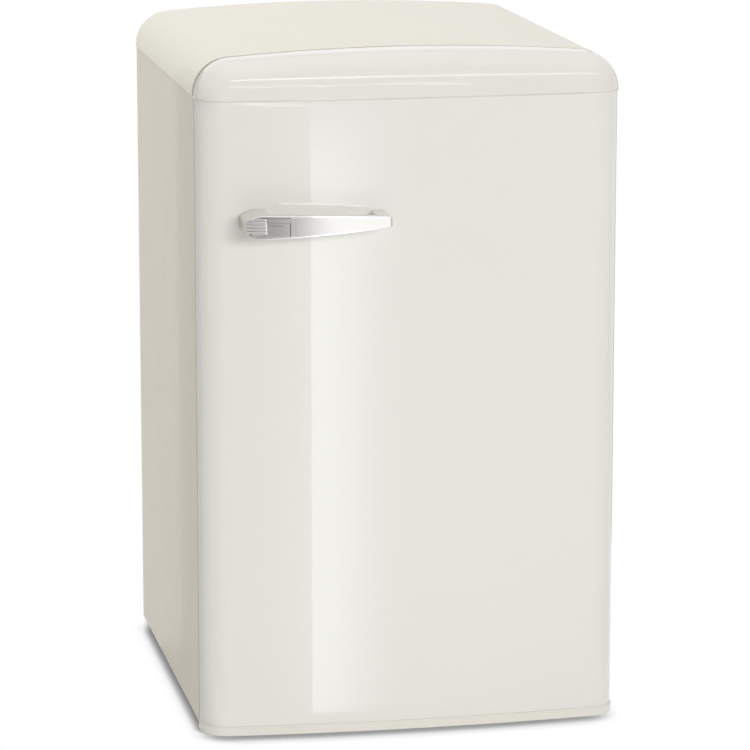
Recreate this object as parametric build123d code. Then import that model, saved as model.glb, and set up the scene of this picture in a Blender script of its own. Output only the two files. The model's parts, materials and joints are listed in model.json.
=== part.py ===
from build123d import *
import math
import os

# Driving dimensions, in millimetres. X is to the right, Y to the back, Z up, the floor is at Z 0.

# Outside
overall_width = 550.0
overall_height = 895.0
cabinet_depth = 540.0
door_depth = 75.0
floor_gap = 12.0
crown_height = 58.0
crown_sagitta = 13.0
top_corner_radius = 48.0
cap_overhang = 1.5
sheet = 1.0
bend_radius = 3.0
fit_gap = 0.1

# Cabinet walls and inner liner
side_insulation = 40.0
top_insulation = 42.0
bottom_insulation = 46.0
back_insulation = 48.0
condenser_recess = 25.0
front_flange = 26.0
rear_hem = 12.0
liner_wall = 2.0
liner_corner = 9.0
cover_wall = 3.0
cover_rib = 2.5
slot_pitch = 28.0
slot_length = 24.0
slot_width = 6.0
slot_pairs = 7
swage_width = 14.0

# Compressor bay
bay_height = 200.0
bay_depth = 170.0
bay_chamfer = 40.0
bay_insulation = 40.0

# Door
gasket_gap = 12.0
bow_sagitta = 14.0
edge_radius = 36.0
cap_wall = 2.6
bottom_cap_height = 11.6
bottom_cap_floor = 2.5
bottom_cap_lip = 3.2
bottom_cap_step = 0.8
door_drop = 4.0
skin_return = 12.0
door_liner_wall = 2.0
dyke_reach = 40.0
dyke_side_clearance = 13.0
dyke_width = 26.0
dyke_corner = 20.0
gasket_width = 22.0
gasket_inset = 16.0
gasket_face_clearance = 0.2
groove_width = 6.0
groove_depth = 8.0
gasket_base = 2.0
gasket_head = 4.6
gasket_head_width = 16.0
gasket_neck = 6.0
gasket_corner = 14.0
groove_clearance = 0.3
magnet_width = 6.6
magnet_inset = 1.5
magnet_thickness = 2.4

# Hinges
hinge_inset = 16.0
hinge_forward = 30.0
pin_radius = 4.0
pin_length = 22.0
running_clearance = 0.08
bush_wall = 2.5
bush_flange = 2.0
hinge_plate = 3.0
hinge_lift = 0.6
hinge_notch = 1.0
hinge_arm_width = 17.0
hinge_plate_length = 64.0
hinge_plate_depth = 34.0
screw_radius = 2.5
screw_head_radius = 4.6
screw_head = 2.6
pin_head_lip = 2.0
hinge_corner = 5.0
hinge_screw_inset = 10.0
hinge_screw_pitch = 44.0
hinge_screw_step = 17.0
hinge_screw_edge = 9.0
hinge_screw_length = 14.0

# Handle
handle_proud = 46.0
handle_left = -225.0
handle_length = 187.0
handle_height_left = 31.5
handle_height_right = 14.7
handle_thickness = 12.0
handle_middle = 684.7
handle_rise = 2.3
handle_belly = 3.0
handle_corner_left = 7.0
handle_corner_right = 4.5
handle_slim_left = 5.0
handle_slim_right = 2.6
handle_post_left = 33.0
handle_post_right = 18.0
handle_bend_left = 11.0
handle_bend_right = 8.0
handle_edge = 1.6
handle_screw_length = 30.0
ornament_length = 61.0
ornament_border = 3.0
ornament_recess = 2.4
ornament_plate = 0.8
ornament_clearance = 0.1
ornament_rim = 2.2
ornament_rim_start = 20.0
ornament_end = 6.0
ornament_sink = 0.3
rib_count = 5
rib_length = 28.0
rib_radius = 1.9
handle_pad = 1.2

# Shelves, drawer and bins
shelf_count = 3
shelf_step_gap = 7.0
shelf_headroom = 93.0
shelf_glass = 4.0
shelf_front_setback = 112.0
shelf_side_clearance = 2.0
shelf_rib_height = 8.0
shelf_rib_reach = 6.0
trim_wall = 1.6
trim_depth = 14.0
trim_height = 15.0
rear_trim_lip = 16.0
shelf_back_clearance = 3.0
drawer_wall = 2.4
drawer_clearance = 0.4
drawer_side_clearance = 8.0
drawer_draft = 9.0
drawer_corner = 14.0
drawer_lip = 12.0
drawer_top_clearance = 16.0
drawer_back_clearance = 6.0
drawer_lip_half = 110.0
drawer_lip_thickness = 3.0
drawer_lip_drop = 16.0
drawer_front_setback = 2.0
bottle_bin_lift = 41.0
middle_bin_drop = 387.0
top_bin_drop = 182.0
bottle_bin_height = 92.0
small_bin_height = 72.0
bin_reach = 98.0
bin_wall = 2.4
bin_draft = 6.0
bin_corner = 12.0
bin_side_clearance = 0.5
lug_width = 22.0
lug_height = 30.0
lug_reach = 6.0
lug_setback = 10.0
lug_clearance = 0.4
lug_drop = 22.0

# Thermostat and lamp
control_length = 137.0
lamp_cover_length = 74.0
control_joint = 0.3
control_height = 76.0
control_reach = 33.0
control_setback = 43.0
control_top_gap = 26.0
control_wall = 2.2
knob_setback = 145.0
knob_radius = 21.0
knob_height = 13.0
knob_gap = 0.5
knob_shaft_radius = 3.0
plunger_radius = 3.5
plunger_stroke = 6.0
plunger_length = 26.0
plunger_collar = 2.0
plunger_collar_lip = 1.0
plunger_rest_gap = 0.3
lamp_radius = 11.0
lamp_length = 46.0
lamp_holder_length = 18.0
lamp_arm_half = 7.0
lamp_arm_length = 10.0
lamp_rib_count = 9
lamp_rib_proud = 0.8
lamp_rib_half = 1.0
lamp_rib_inset = 10.0
thermostat_gap = 12.0
thermostat_half_length = 22.0
thermostat_half_height = 18.0
knob_bar_half = 4.0

# Feet and rollers
foot_radius = 16.0
foot_height = 9.0
stud_radius = 4.0
stud_length = 38.0
foot_inset_x = 50.0
foot_inset_y = 70.0
socket_wall = 5.0
socket_flange = 1.5
socket_lip = 4.0
socket_cap = 1.0
foot_notch = 1.6
foot_rim = 2.5
roller_radius = 13.0
roller_width = 20.0
roller_inset_x = 36.0
roller_inset_y = 30.0
axle_radius = 2.5
ear_thickness = 2.0
ear_gap = 0.5
ear_half = 9.0
ear_low = 6.0
ear_high = 8.0
axle_head = 0.8
axle_head_lip = 1.2
slot_clearance = 2.0

# Compressor and refrigerant circuit
rail_thickness = 2.0
rail_lip = 20.0
rail_rear_gap = 4.0
compressor_x = 70.0
compressor_length = 150.0
compressor_width = 118.0
compressor_height = 138.0
compressor_lift = 14.0
weld_flange = 4.0
grommet_radius = 10.0
mount_spread_x = 166.0
mount_spread_y = 86.0
mount_margin = 3.0
grommet_cap = 3.0
bolt_radius = 3.0
bolt_tail = 4.0
bolt_head = 3.5
bolt_head_radius = 5.6
tube_radius = 2.4
wire_size = 1.4
wire_gap = 0.05
wire_pitch = 12.0
condenser_passes = 12
condenser_pitch = 40.0
condenser_width = 410.0
condenser_top_gap = 70.0
riser_gap = 12.0
clip_half = 3.6
clip_height = 7.0
clip_wrap = 2.0
clip_pitches = 12
drain_radius = 6.0
drain_setback = 28.0
drain_wall = 1.5
drip_tray_height = 22.0
drip_tray_wall = 2.0
drip_tray_draft = 8.0
drip_tray_corner = 10.0
drain_drop = 12.0
drier_radius = 9.0
drier_length = 62.0
drier_neck = 6.0
drier_cone = 10.0
drier_rise = 50.0
drier_offset = 60.0
capillary_radius = 1.0
suction_radius = 3.2
suction_reach = 34.0
suction_bend = 16.0
capillary_reach = 24.0
capillary_inset = 25.0
capillary_bend = 12.0
pipe_rise = 10.0
relay_depth = 34.0
relay_half = 30.0
relay_height = 58.0
relay_corner = 5.0
gland_radius = 7.0
gland_bore = 3.6
gland_length = 12.0
gland_rise = 20.0
gland_chamfer = 2.0
evaporator_half = 190.0
evaporator_sheet = 1.5
evaporator_channel = 3.0
evaporator_passes = 7
evaporator_low_gap = 60.0
evaporator_high_gap = 70.0
evaporator_side_gap = 20.0

# Planes worked out from the driving dimensions
half = overall_width / 2
panel_half = half - cap_overhang
seam_z = overall_height - crown_height
base_z = floor_gap
front_y = -(cabinet_depth - door_depth - handle_proud) / 2
rear_y = front_y + cabinet_depth
back_y = rear_y - condenser_recess
inner_half = panel_half - sheet
flange_half = panel_half - front_flange
flange_top = seam_z - front_flange
flange_bottom = base_z + front_flange
cavity_half = half - side_insulation
cavity_top = seam_z - top_insulation
cavity_floor = base_z + bottom_insulation
cavity_back = back_y - back_insulation
bay_front = rear_y - bay_depth
bay_top = base_z + bay_height
bay_middle = (bay_front + rear_y) / 2
step_front = bay_front - bay_insulation
step_top = bay_top + bay_insulation
door_back = front_y - gasket_gap
door_front = front_y - door_depth
door_bottom = base_z - door_drop
notch_roof = base_z + hinge_lift
door_top = seam_z - hinge_lift
skin_bottom = door_bottom + bottom_cap_height
hinge_x = half - hinge_inset
hinge_y = front_y - hinge_forward
dyke_half = cavity_half - dyke_side_clearance
dyke_inner_half = dyke_half - dyke_width
dyke_top = cavity_top - dyke_side_clearance
dyke_bottom = cavity_floor + dyke_side_clearance
dyke_crest = front_y + dyke_reach
control_high = cavity_top - control_top_gap
control_low = control_high - control_height
shelf_low = step_top + liner_corner + shelf_step_gap
shelf_spacing = (control_low - shelf_headroom - shelf_low) / (shelf_count - 1)
shelf_levels = [shelf_low + shelf_spacing * i for i in range(shelf_count)]
bin_levels = (dyke_bottom + bottle_bin_lift, dyke_top - middle_bin_drop, dyke_top - top_bin_drop)
bin_heights = (bottle_bin_height, small_bin_height, small_bin_height)
shelf_front = front_y + shelf_front_setback
bush_radius = pin_radius + running_clearance + bush_wall
rail_top = base_z + rail_thickness
lift_out = 300.0


def block(x0, x1, y0, y1, z0, z1):
    """Box between two corners."""
    return Pos((x0 + x1) / 2, (y0 + y1) / 2, (z0 + z1) / 2) * Box(x1 - x0, y1 - y0, z1 - z0)


def rod(x, y, z0, z1, radius):
    """Upright round rod."""
    return Pos(x, y, (z0 + z1) / 2) * Cylinder(radius, z1 - z0)


def ring(half_x, z0, z1, width, y0, y1, corner):
    """Rounded rectangular frame standing in the XZ plane, drawn inward from its outer edge."""
    plane = Plane.XZ.offset(-y0) * Pos(0, (z0 + z1) / 2)
    outer = RectangleRounded(2 * half_x, z1 - z0, corner)
    inner_corner = max(corner - width, 1.0)
    inner = RectangleRounded(2 * (half_x - width), z1 - z0 - 2 * width, inner_corner)
    face = outer - inner
    return extrude(plane * face, amount=y0 - y1)


def edges_at(shape, axis, value, tolerance=0.01):
    """Edges whose middle lies at one coordinate."""
    place = {"X": lambda c: c.X, "Y": lambda c: c.Y, "Z": lambda c: c.Z}[axis]
    return shape.edges().filter_by(lambda e: abs(place(e.center()) - value) < tolerance)


def bent_path(points, bend):
    """Wire of straight runs joined by tangent arcs."""
    knots = [Vector(*p) for p in points]
    edges = []
    start = knots[0]
    for before, corner, after in zip(knots, knots[1:], knots[2:]):
        came = (corner - before).normalized()
        goes = (after - corner).normalized()
        turn = came.get_angle(goes) / 2
        reach = bend * math.tan(math.radians(turn))
        first = corner - came * reach
        last = corner + goes * reach
        inward = (goes - came).normalized()
        middle = corner + inward * (bend / math.cos(math.radians(turn)) - bend)
        if (first - start).length > 1e-6:
            edges.append(Line(start, first))
        edges.append(ThreePointArc(first, middle, last))
        start = last
    edges.append(Line(start, knots[-1]))
    return Wire(edges)


def tube(points, bend, radius):
    """Round rod swept along a bent path."""
    path = bent_path(points, bend)
    return sweep(Plane(path @ 0, z_dir=path % 0) * Circle(radius), path=path)


def tray(bottom, top, z0, z1, corner):
    """Tapered rounded block between two rectangles, each given as x0, x1, y0, y1."""
    faces = []
    for (x0, x1, y0, y1), z in ((bottom, z0), (top, z1)):
        faces.append(Pos((x0 + x1) / 2, (y0 + y1) / 2, z) * RectangleRounded(x1 - x0, y1 - y0, corner))
    return loft(faces)


def inset(rectangle, amount):
    """Rectangle drawn in by one amount on every side."""
    x0, x1, y0, y1 = rectangle
    return (x0 + amount, x1 - amount, y0 + amount, y1 - amount)


def crown_outline(grow, low_z):
    """Front outline of the domed top: upright sides, rounded corners and a shallow crown."""
    reach = half + grow
    top = overall_height + grow
    shoulder = top - crown_sagitta
    sides = Polyline((reach, shoulder), (reach, low_z), (-reach, low_z), (-reach, shoulder))
    crown = ThreePointArc((-reach, shoulder), (0, top), (reach, shoulder))
    face = make_face(sides + crown)
    return fillet(face.vertices().group_by(Axis.Y)[-1], top_corner_radius + grow)


def door_form(grow, low_z, rear):
    """Bowed door block under the crown outline, its front edge rounded up one side and down the other."""
    reach = half + grow
    front = door_front - grow
    side = front + bow_sagitta
    body = extrude(Plane.XZ.offset(-rear) * crown_outline(grow, low_z), amount=rear - front + 1)
    sides = Polyline((reach, side), (reach, rear + 1), (-reach, rear + 1), (-reach, side))
    bow = ThreePointArc((-reach, side), (0, front), (reach, side))
    plan = make_face(sides + bow)
    body = body & extrude(Plane.XY.offset(low_z - 1) * plan, amount=overall_height)
    front_edges = body.edges().filter_by(lambda e: e.center().Y < side + 1 and e.center().Z > low_z + 1)
    return fillet(front_edges, edge_radius + grow)


def slab(z0, z1):
    """Level slice of space, wider than the whole fridge."""
    return block(-overall_width, overall_width, -cabinet_depth, cabinet_depth, z0, z1)


# Cabinet shell

def side_panel():
    """Right side panel: one sheet with a front flange and a rear hem."""
    flange = Rectangle(front_flange, cabinet_depth, align=(Align.MAX, Align.MIN))
    corner = (Align.MAX, Align.MIN)
    hollow = Pos(-sheet, sheet) * Rectangle(front_flange, cabinet_depth - 2 * sheet, align=corner)
    gap = Pos(-rear_hem, sheet) * Rectangle(front_flange, cabinet_depth, align=corner)
    face = flange - hollow - gap
    outer = face.vertices().filter_by(lambda v: abs(v.X) < 0.01)
    face = fillet(outer, bend_radius)
    inner = face.vertices().filter_by(lambda v: abs(v.X + sheet) < 0.01)
    face = fillet(inner, bend_radius - sheet)
    return extrude(Pos(panel_half, front_y, base_z) * face, amount=seam_z - base_z)


def level_sheet(y0, y1, z0, z1):
    """Flat sheet between the side panels with its corners clear of their bends."""
    face = RectangleRounded(2 * inner_half, y1 - y0, bend_radius)
    return extrude(Pos(0, (y0 + y1) / 2, z0) * face, amount=z1 - z0)


def top_panel():
    """Top sheet with its front edge folded down."""
    flange = block(-flange_half, flange_half, front_y, front_y + sheet, flange_top, seam_z)
    return level_sheet(front_y + sheet, back_y, seam_z - sheet, seam_z) + flange


def base_pan():
    """Bottom sheet with its front edge folded up."""
    flange = block(-flange_half, flange_half, front_y, front_y + sheet, base_z, flange_bottom)
    return level_sheet(front_y + sheet, bay_front - sheet, base_z, base_z + sheet) + flange


def back_panel():
    """Back sheet with two upright swages that stiffen it."""
    panel = block(-inner_half, inner_half, back_y - sheet, back_y, bay_top + sheet, seam_z - sheet)
    for side in (-1, 1):
        x = side * cavity_half
        length = seam_z - bay_top - 2 * side_insulation
        middle = Plane.XZ.offset(-back_y) * Pos(x, (bay_top + seam_z) / 2)
        swage = middle * SlotOverall(length, swage_width, rotation=90)
        panel += extrude(swage, amount=-sheet)
    return panel


def bay_face(grow):
    """Side view of the compressor bay, open to the back and the floor."""
    corners = [
        (bay_front - grow, base_z),
        (bay_front - grow, bay_top - bay_chamfer + grow * (math.sqrt(2) - 1)),
        (bay_front + bay_chamfer - grow * (math.sqrt(2) - 1), bay_top + grow),
        (back_y, bay_top + grow),
        (back_y, base_z),
    ]
    return make_face(Polyline(*corners, close=True))


def bay_space(grow, reach):
    """Solid of the compressor bay."""
    return extrude(Plane.YZ * bay_face(grow), amount=reach, both=True)


def bay_panel():
    """Folded sheet that walls off the compressor bay."""
    return bay_space(sheet, inner_half) - bay_space(0, inner_half + sheet)


def cavity(grow):
    """Space inside the liner, with the step over the compressor bay and rounded corners."""
    slope = bay_chamfer - grow * (2 - math.sqrt(2))
    corners = [
        (front_y - lift_out, cavity_floor - grow),
        (step_front + grow, cavity_floor - grow),
        (step_front + grow, step_top - grow - slope),
        (step_front + grow + slope, step_top - grow),
        (cavity_back + grow, step_top - grow),
        (cavity_back + grow, cavity_top + grow),
        (front_y - lift_out, cavity_top + grow),
    ]
    side_view = Plane.YZ * make_face(Polyline(*corners, close=True))
    space = extrude(side_view, amount=cavity_half + grow, both=True)
    front = front_y - lift_out
    rounded = space.edges().filter_by(lambda e: max(v.Y for v in e.vertices()) > front + 1)
    return fillet(rounded, liner_corner) & block(-half, half, front_y, rear_y, 0, overall_height)


def drain_place():
    """Plan position of the drain, over the drip tray."""
    return compressor_x, cavity_back - drain_setback


def inner_liner():
    """Moulded liner: thin shell, front flange and the ribs that carry the shelves."""
    inside = cavity(0)
    flange = block(-flange_half, flange_half, front_y, front_y + liner_wall, flange_bottom, flange_top)
    outside = cavity(liner_wall)
    shell = outside + flange - inside
    for level in shelf_levels:
        for side in (-1, 1):
            x0, x1 = sorted((side * (cavity_half - shelf_rib_reach), side * (cavity_half + liner_wall / 2)))
            y1 = cavity_back + liner_wall / 2
            y0 = shelf_front + trim_depth + fit_gap
            shell += block(x0, x1, y0, y1, level - shelf_rib_height, level) & outside
    x, y = drain_place()
    return shell - rod(x, y, bay_top, step_top + liner_wall, drain_radius + fit_gap)


def cabinet_foam(cuts):
    """Insulation that fills the walls, less everything let into it."""
    body = block(-inner_half, inner_half, front_y + sheet, back_y - sheet, base_z + sheet, seam_z - sheet)
    corners = body.edges().filter_by(Axis.Z).filter_by(lambda e: e.center().Y < front_y + 2 * sheet)
    body = fillet(corners, bend_radius)
    flange = block(-flange_half, flange_half, front_y, front_y + liner_wall, flange_bottom, flange_top)
    body = body - cavity(liner_wall) - flange - bay_space(sheet, half)
    for cut in cuts:
        body -= cut
    return body


def top_cover():
    """Domed moulded cover with cross ribs inside and an air grille at the back."""
    outer = Plane.XZ.offset(-front_y) * crown_outline(0, seam_z)
    inner = Plane.XZ.offset(-front_y - cover_wall) * crown_outline(-cover_wall, seam_z - 1)
    shell = extrude(outer, amount=-cabinet_depth)
    rear_edges = shell.edges().filter_by(lambda e: e.center().Y > rear_y - 0.01 and e.center().Z > seam_z + 1)
    shell = fillet(rear_edges, 2 * cover_wall)
    shell -= extrude(inner, amount=2 * cover_wall - cabinet_depth)
    for share in (1 / 3, 2 / 3):
        y = front_y + cabinet_depth * share
        rib = Plane.XZ.offset(-y) * crown_outline(-cover_wall / 2, seam_z)
        opening = Plane.XZ.offset(-y) * Pos(0, seam_z) * Rectangle(2 * cavity_half, crown_height)
        shell += extrude(rib - opening, amount=-cover_rib)
    for i in range(-slot_pairs, slot_pairs + 1):
        middle = Plane.XZ.offset(-rear_y) * Pos(slot_pitch * i, seam_z + crown_height / 2)
        slot = middle * SlotOverall(slot_length, slot_width, rotation=90)
        shell -= extrude(slot, amount=2 * cover_wall, both=True)
    x0, x1 = hinge_x - hinge_forward - hinge_arm_width, hinge_x - hinge_arm_width + 2
    notch_top = seam_z + hinge_plate + hinge_notch
    return shell - block(x0, x1, front_y - 1, front_y + 2 * cover_wall, seam_z - 1, notch_top)


# Hinges

def hinge_outline():
    """Cranked plate: a fixing pad on the cabinet and a slanted arm to the pin."""
    pad_right = hinge_x - hinge_arm_width
    pad_front = front_y + 2 * cover_wall
    pad = Pos(pad_right - hinge_plate_length / 2, pad_front + hinge_plate_depth / 2)
    face = pad * RectangleRounded(hinge_plate_length, hinge_plate_depth, hinge_corner)
    reach = (hinge_forward + 2 * cover_wall + hinge_arm_width / 2) * math.sqrt(2)
    slanted = Pos(hinge_x, hinge_y) * Rot(0, 0, 135) * Pos(reach / 2, 0)
    arm = slanted * SlotCenterToCenter(reach, hinge_arm_width)
    return face + arm


def hinge_screw_places():
    """Plan positions of the screws of one hinge."""
    right = hinge_x - hinge_arm_width - hinge_screw_inset
    left = right - hinge_screw_pitch
    front = front_y + 2 * cover_wall + hinge_plate_depth - hinge_screw_edge
    return [(right, front), (left, front), (left, front - hinge_screw_step)]


def hinge_plate_solid(z0):
    """Hinge plate with its pin hole and screw holes."""
    plate = extrude(Pos(0, 0, z0) * hinge_outline(), amount=hinge_plate)
    plate -= rod(hinge_x, hinge_y, z0 - 1, z0 + hinge_plate + 1, pin_radius + 0.02)
    for x, y in hinge_screw_places():
        plate -= rod(x, y, z0 - 1, z0 + hinge_plate + 1, screw_radius + fit_gap)
    return plate


def hinge_pin(z0, up):
    """Headed pin that stands out of the plate into the door."""
    direction = 1 if up else -1
    foot = z0 if up else z0 + hinge_plate
    tip = foot + direction * (hinge_plate + hinge_lift + pin_length)
    pin = rod(hinge_x, hinge_y, min(foot, tip), max(foot, tip), pin_radius)
    pin = chamfer(edges_at(pin, "Z", tip), 1.0)
    head = foot - direction * screw_head / 2
    return pin + rod(hinge_x, hinge_y, min(foot, head), max(foot, head), pin_radius + pin_head_lip)


def screw(x, y, z, direction, length):
    """Pan head screw whose head sits on level z and whose shank runs along the direction."""
    low, high = sorted((z, z + direction * length))
    head_low, head_high = sorted((z, z - direction * screw_head))
    head = rod(x, y, head_low, head_high, screw_head_radius)
    head = fillet(edges_at(head, "Z", z - direction * screw_head), screw_head / 2)
    return rod(x, y, low, high, screw_radius) + head


def screw_hole(x, y, z, direction, length):
    """Clearance hole for a screw shank."""
    low, high = sorted((z, z + direction * (length + 1)))
    return rod(x, y, low, high, screw_radius + fit_gap)


def door_bush(z0, z1, flange_z):
    """Flanged bearing bush for a hinge pin."""
    bush = rod(hinge_x, hinge_y, z0, z1, bush_radius)
    low, high = sorted((flange_z, flange_z + (bush_flange if flange_z == z0 else -bush_flange)))
    bush += rod(hinge_x, hinge_y, low, high, bush_radius + bush_flange)
    return bush - rod(hinge_x, hinge_y, z0 - 1, z1 + 1, pin_radius + running_clearance)


def bush_room(z0, z1, flange_z):
    """Space that a bush takes in the door."""
    room = rod(hinge_x, hinge_y, z0, z1, bush_radius + fit_gap)
    low, high = sorted((flange_z, flange_z + (bush_flange if flange_z == z0 else -bush_flange)))
    return room + rod(hinge_x, hinge_y, low, high, bush_radius + bush_flange + fit_gap)


# Door

def door_skin(holes):
    """Bowed steel front with rounded upright edges and returns along the back of both sides."""
    outer = door_form(-cap_overhang, skin_bottom, door_back)
    inner = door_form(-cap_overhang - sheet, skin_bottom - 1, door_back + 1)
    skin = (outer - inner) & slab(skin_bottom, door_top)
    for side in (-1, 1):
        x0, x1 = sorted((side * (inner_half - skin_return), side * (inner_half + sheet / 2)))
        skin += block(x0, x1, door_back - sheet, door_back, skin_bottom, door_top)
    for hole in holes:
        skin -= hole
    return skin


def door_top_cap():
    """Hollow cap that carries the crown over the door, notched at the back for the hinge arm."""
    outer = door_form(0, door_top, door_back)
    inner = door_form(-cap_wall, door_top - 1, door_back - cap_wall)
    x0 = hinge_x - hinge_forward - hinge_arm_width / 2
    y0 = hinge_y - hinge_arm_width / 2 + hinge_notch
    z1 = seam_z + hinge_plate + hinge_notch
    notch = block(x0, half + 1, y0, front_y, door_top - 1, z1)
    return outer - inner - notch


def bottom_notch(grow):
    """Space under the door that the lower hinge arm sweeps as the door opens."""
    x0 = hinge_x - hinge_forward - hinge_arm_width / 2 - grow
    y0 = hinge_y - hinge_arm_width / 2 - hinge_notch - grow
    return block(x0, half + 1, y0, front_y, door_bottom - 1, notch_roof + grow)


def door_bottom_cap(holes):
    """Shallow tray that closes the foot of the door, with a stepped lip and a roofed hinge notch."""
    form = door_form(0, door_bottom, door_back)
    outer = form & slab(door_bottom, skin_bottom - bottom_cap_lip)
    outer += door_form(-bottom_cap_step, door_bottom, door_back) & slab(door_bottom, skin_bottom)
    inner = door_form(-cap_wall - bottom_cap_step, door_bottom, door_back - cap_wall)
    cap = outer - (inner & slab(door_bottom + bottom_cap_floor, skin_bottom + 1))
    cap += bottom_notch(bottom_cap_floor) & outer
    cap -= bottom_notch(0)
    for hole in holes:
        cap -= hole
    return cap


def dyke(grow, y0):
    """Raised frame on the inside of the door, drawn in by a negative amount."""
    frame = ring(
        dyke_half + grow,
        dyke_bottom - grow,
        dyke_top + grow,
        dyke_width + 2 * grow,
        y0,
        dyke_crest + grow,
        dyke_corner + grow,
    )
    return fillet(edges_at(frame, "Y", dyke_crest + grow), dyke_width / 4 + grow)


def groove(width, depth):
    """Frame shaped like the channel that holds the gasket's dart."""
    reach = half - gasket_inset - gasket_width / 2 + width / 2
    low = base_z + gasket_inset + gasket_width / 2 - width / 2
    high = seam_z - gasket_inset - gasket_width / 2 + width / 2
    return ring(reach, low, high, width, door_back - depth, door_back, gasket_corner)


def bin_lugs():
    """Places of the lugs that carry the bins: side, y0, y1, z0, z1."""
    places = []
    for level, height in zip(bin_levels, bin_heights):
        top = level + height - lug_drop
        for side in (-1, 1):
            y0 = front_y + lug_setback
            places.append((side, y0, y0 + lug_width, top - lug_height, top))
    return places


def door_liner():
    """Inner door panel: flat rim, gasket channel, hollow dyke and bin lugs."""
    rim_half = inner_half - skin_return - fit_gap
    rim = block(-rim_half, rim_half, door_back - door_liner_wall, door_back, skin_bottom, door_top)
    rim += groove(groove_width + 2 * door_liner_wall, groove_depth + door_liner_wall)
    rim -= groove(groove_width, groove_depth)
    panel = rim + dyke(0, door_back - door_liner_wall)
    panel -= dyke(-door_liner_wall, door_back - 2 * door_liner_wall)
    for side, y0, y1, z0, z1 in bin_lugs():
        root = dyke_inner_half + door_liner_wall / 2
        x0, x1 = sorted((side * (dyke_inner_half - lug_reach), side * root))
        panel += block(x0, x1, y0, y1, z0, z1)
    return panel


def door_foam(cuts):
    """Insulation between the skin and the inner door panel."""
    body = door_form(-cap_wall, skin_bottom, door_back - door_liner_wall) & slab(skin_bottom, door_top)
    body += dyke(-door_liner_wall, door_back - 2 * door_liner_wall)
    body -= groove(groove_width + 2 * door_liner_wall, groove_depth + door_liner_wall)
    for cut in cuts:
        body -= cut
    return body


def gasket_frame(inward, width, y0, y1):
    """One layer of the gasket, set in from its outer edge."""
    reach = half - gasket_inset - inward
    low = base_z + gasket_inset + inward
    high = seam_z - gasket_inset - inward
    return ring(reach, low, high, width, y0, y1, gasket_corner)


def door_gasket():
    """Magnetic seal: dart in the channel, base lip, neck and a head with a groove for the magnet."""
    face = front_y - gasket_face_clearance
    head = face - gasket_head
    base = door_back + gasket_base
    seal = gasket_frame(0, gasket_width, door_back, base)
    seal += gasket_frame(1, gasket_neck, base, head)
    seal += gasket_frame(0, gasket_head_width, head, face)
    seal += groove(groove_width - 2 * groove_clearance, groove_depth - 2 * groove_clearance)
    width = magnet_width + 2 * fit_gap
    room = gasket_frame(gasket_neck + magnet_inset, width, head - 1, head + magnet_thickness)
    return seal - room


def gasket_magnets():
    """Four magnet strips in the head of the seal, one along each side."""
    head = front_y - gasket_face_clearance - gasket_head
    frame = gasket_frame(gasket_neck + magnet_inset + fit_gap, magnet_width, head, head + magnet_thickness)
    reach = half - gasket_inset - 2 * gasket_corner
    low = base_z + gasket_inset + 2 * gasket_corner
    high = seam_z - gasket_inset - 2 * gasket_corner
    upright = frame & slab(low, high)
    level = frame & block(-reach, reach, door_back, front_y, 0, overall_height)
    return Compound(upright.solids() + level.solids())


# Handle

handle_right = handle_left + handle_length
handle_front = door_front - handle_proud
post_end = door_front + edge_radius


def handle_outline(drawn_in):
    """Plan of the handle's outside, from the door to the bar, with rounded ends."""
    left = handle_left + drawn_in
    right = handle_right - drawn_in
    front = handle_front + drawn_in
    face = make_face(Polyline((left, post_end), (left, front), (right, front), (right, post_end), close=True))
    for x, bend in ((left, handle_bend_left), (right, handle_bend_right)):
        corner = face.vertices().filter_by(lambda v: abs(v.X - x) < 0.01 and abs(v.Y - front) < 0.01)
        face = fillet(corner, bend - drawn_in)
    return face


def handle_edges(drawn_in):
    """Upper and lower edge of the handle at its left and right end: z of low and high, left then right."""
    left = handle_height_left / 2 - drawn_in
    right = handle_height_right / 2 - drawn_in
    middle_right = handle_middle + handle_rise
    return handle_middle - left, handle_middle + left, middle_right - right, middle_right + right


def handle_front_view(drawn_in, wraps=False, edge=0.0):
    """Front view of the handle through its whole depth: tapered, bellied below, with rounded ends.

    A view that wraps is drawn in above and below alone, and runs on past both ends. With an edge, it
    stops at the face of the handle and is rounded there."""
    low_left, high_left, low_right, high_right = handle_edges(drawn_in)
    x0 = handle_left - 1 if wraps else handle_left + drawn_in
    x1 = handle_right + 1 if wraps else handle_right - drawn_in
    belly = ((x0 + x1) / 2, (low_left + low_right) / 2 - handle_belly)
    above = Polyline((x1, low_right), (x1, high_right), (x0, high_left), (x0, low_left))
    face = make_face(above + ThreePointArc((x0, low_left), belly, (x1, low_right)))
    corners = () if wraps else ((x0, handle_corner_left), (x1, handle_corner_right))
    for x, corner in corners:
        ends = face.vertices().filter_by(lambda v: abs(v.X - x) < 0.01)
        face = fillet(ends, corner - drawn_in / 2)
    view = Plane.XZ.offset(-front_y) * face
    if not edge:
        return extrude(view, amount=front_y - handle_front + 1)
    body = extrude(view, amount=front_y - handle_front)
    return fillet(edges_at(body, "Y", handle_front), edge)


def handle_posts():
    """Plan places of the two posts as x0, x1."""
    return ((handle_left, handle_left + handle_post_left), (handle_right - handle_post_right, handle_right))


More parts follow.
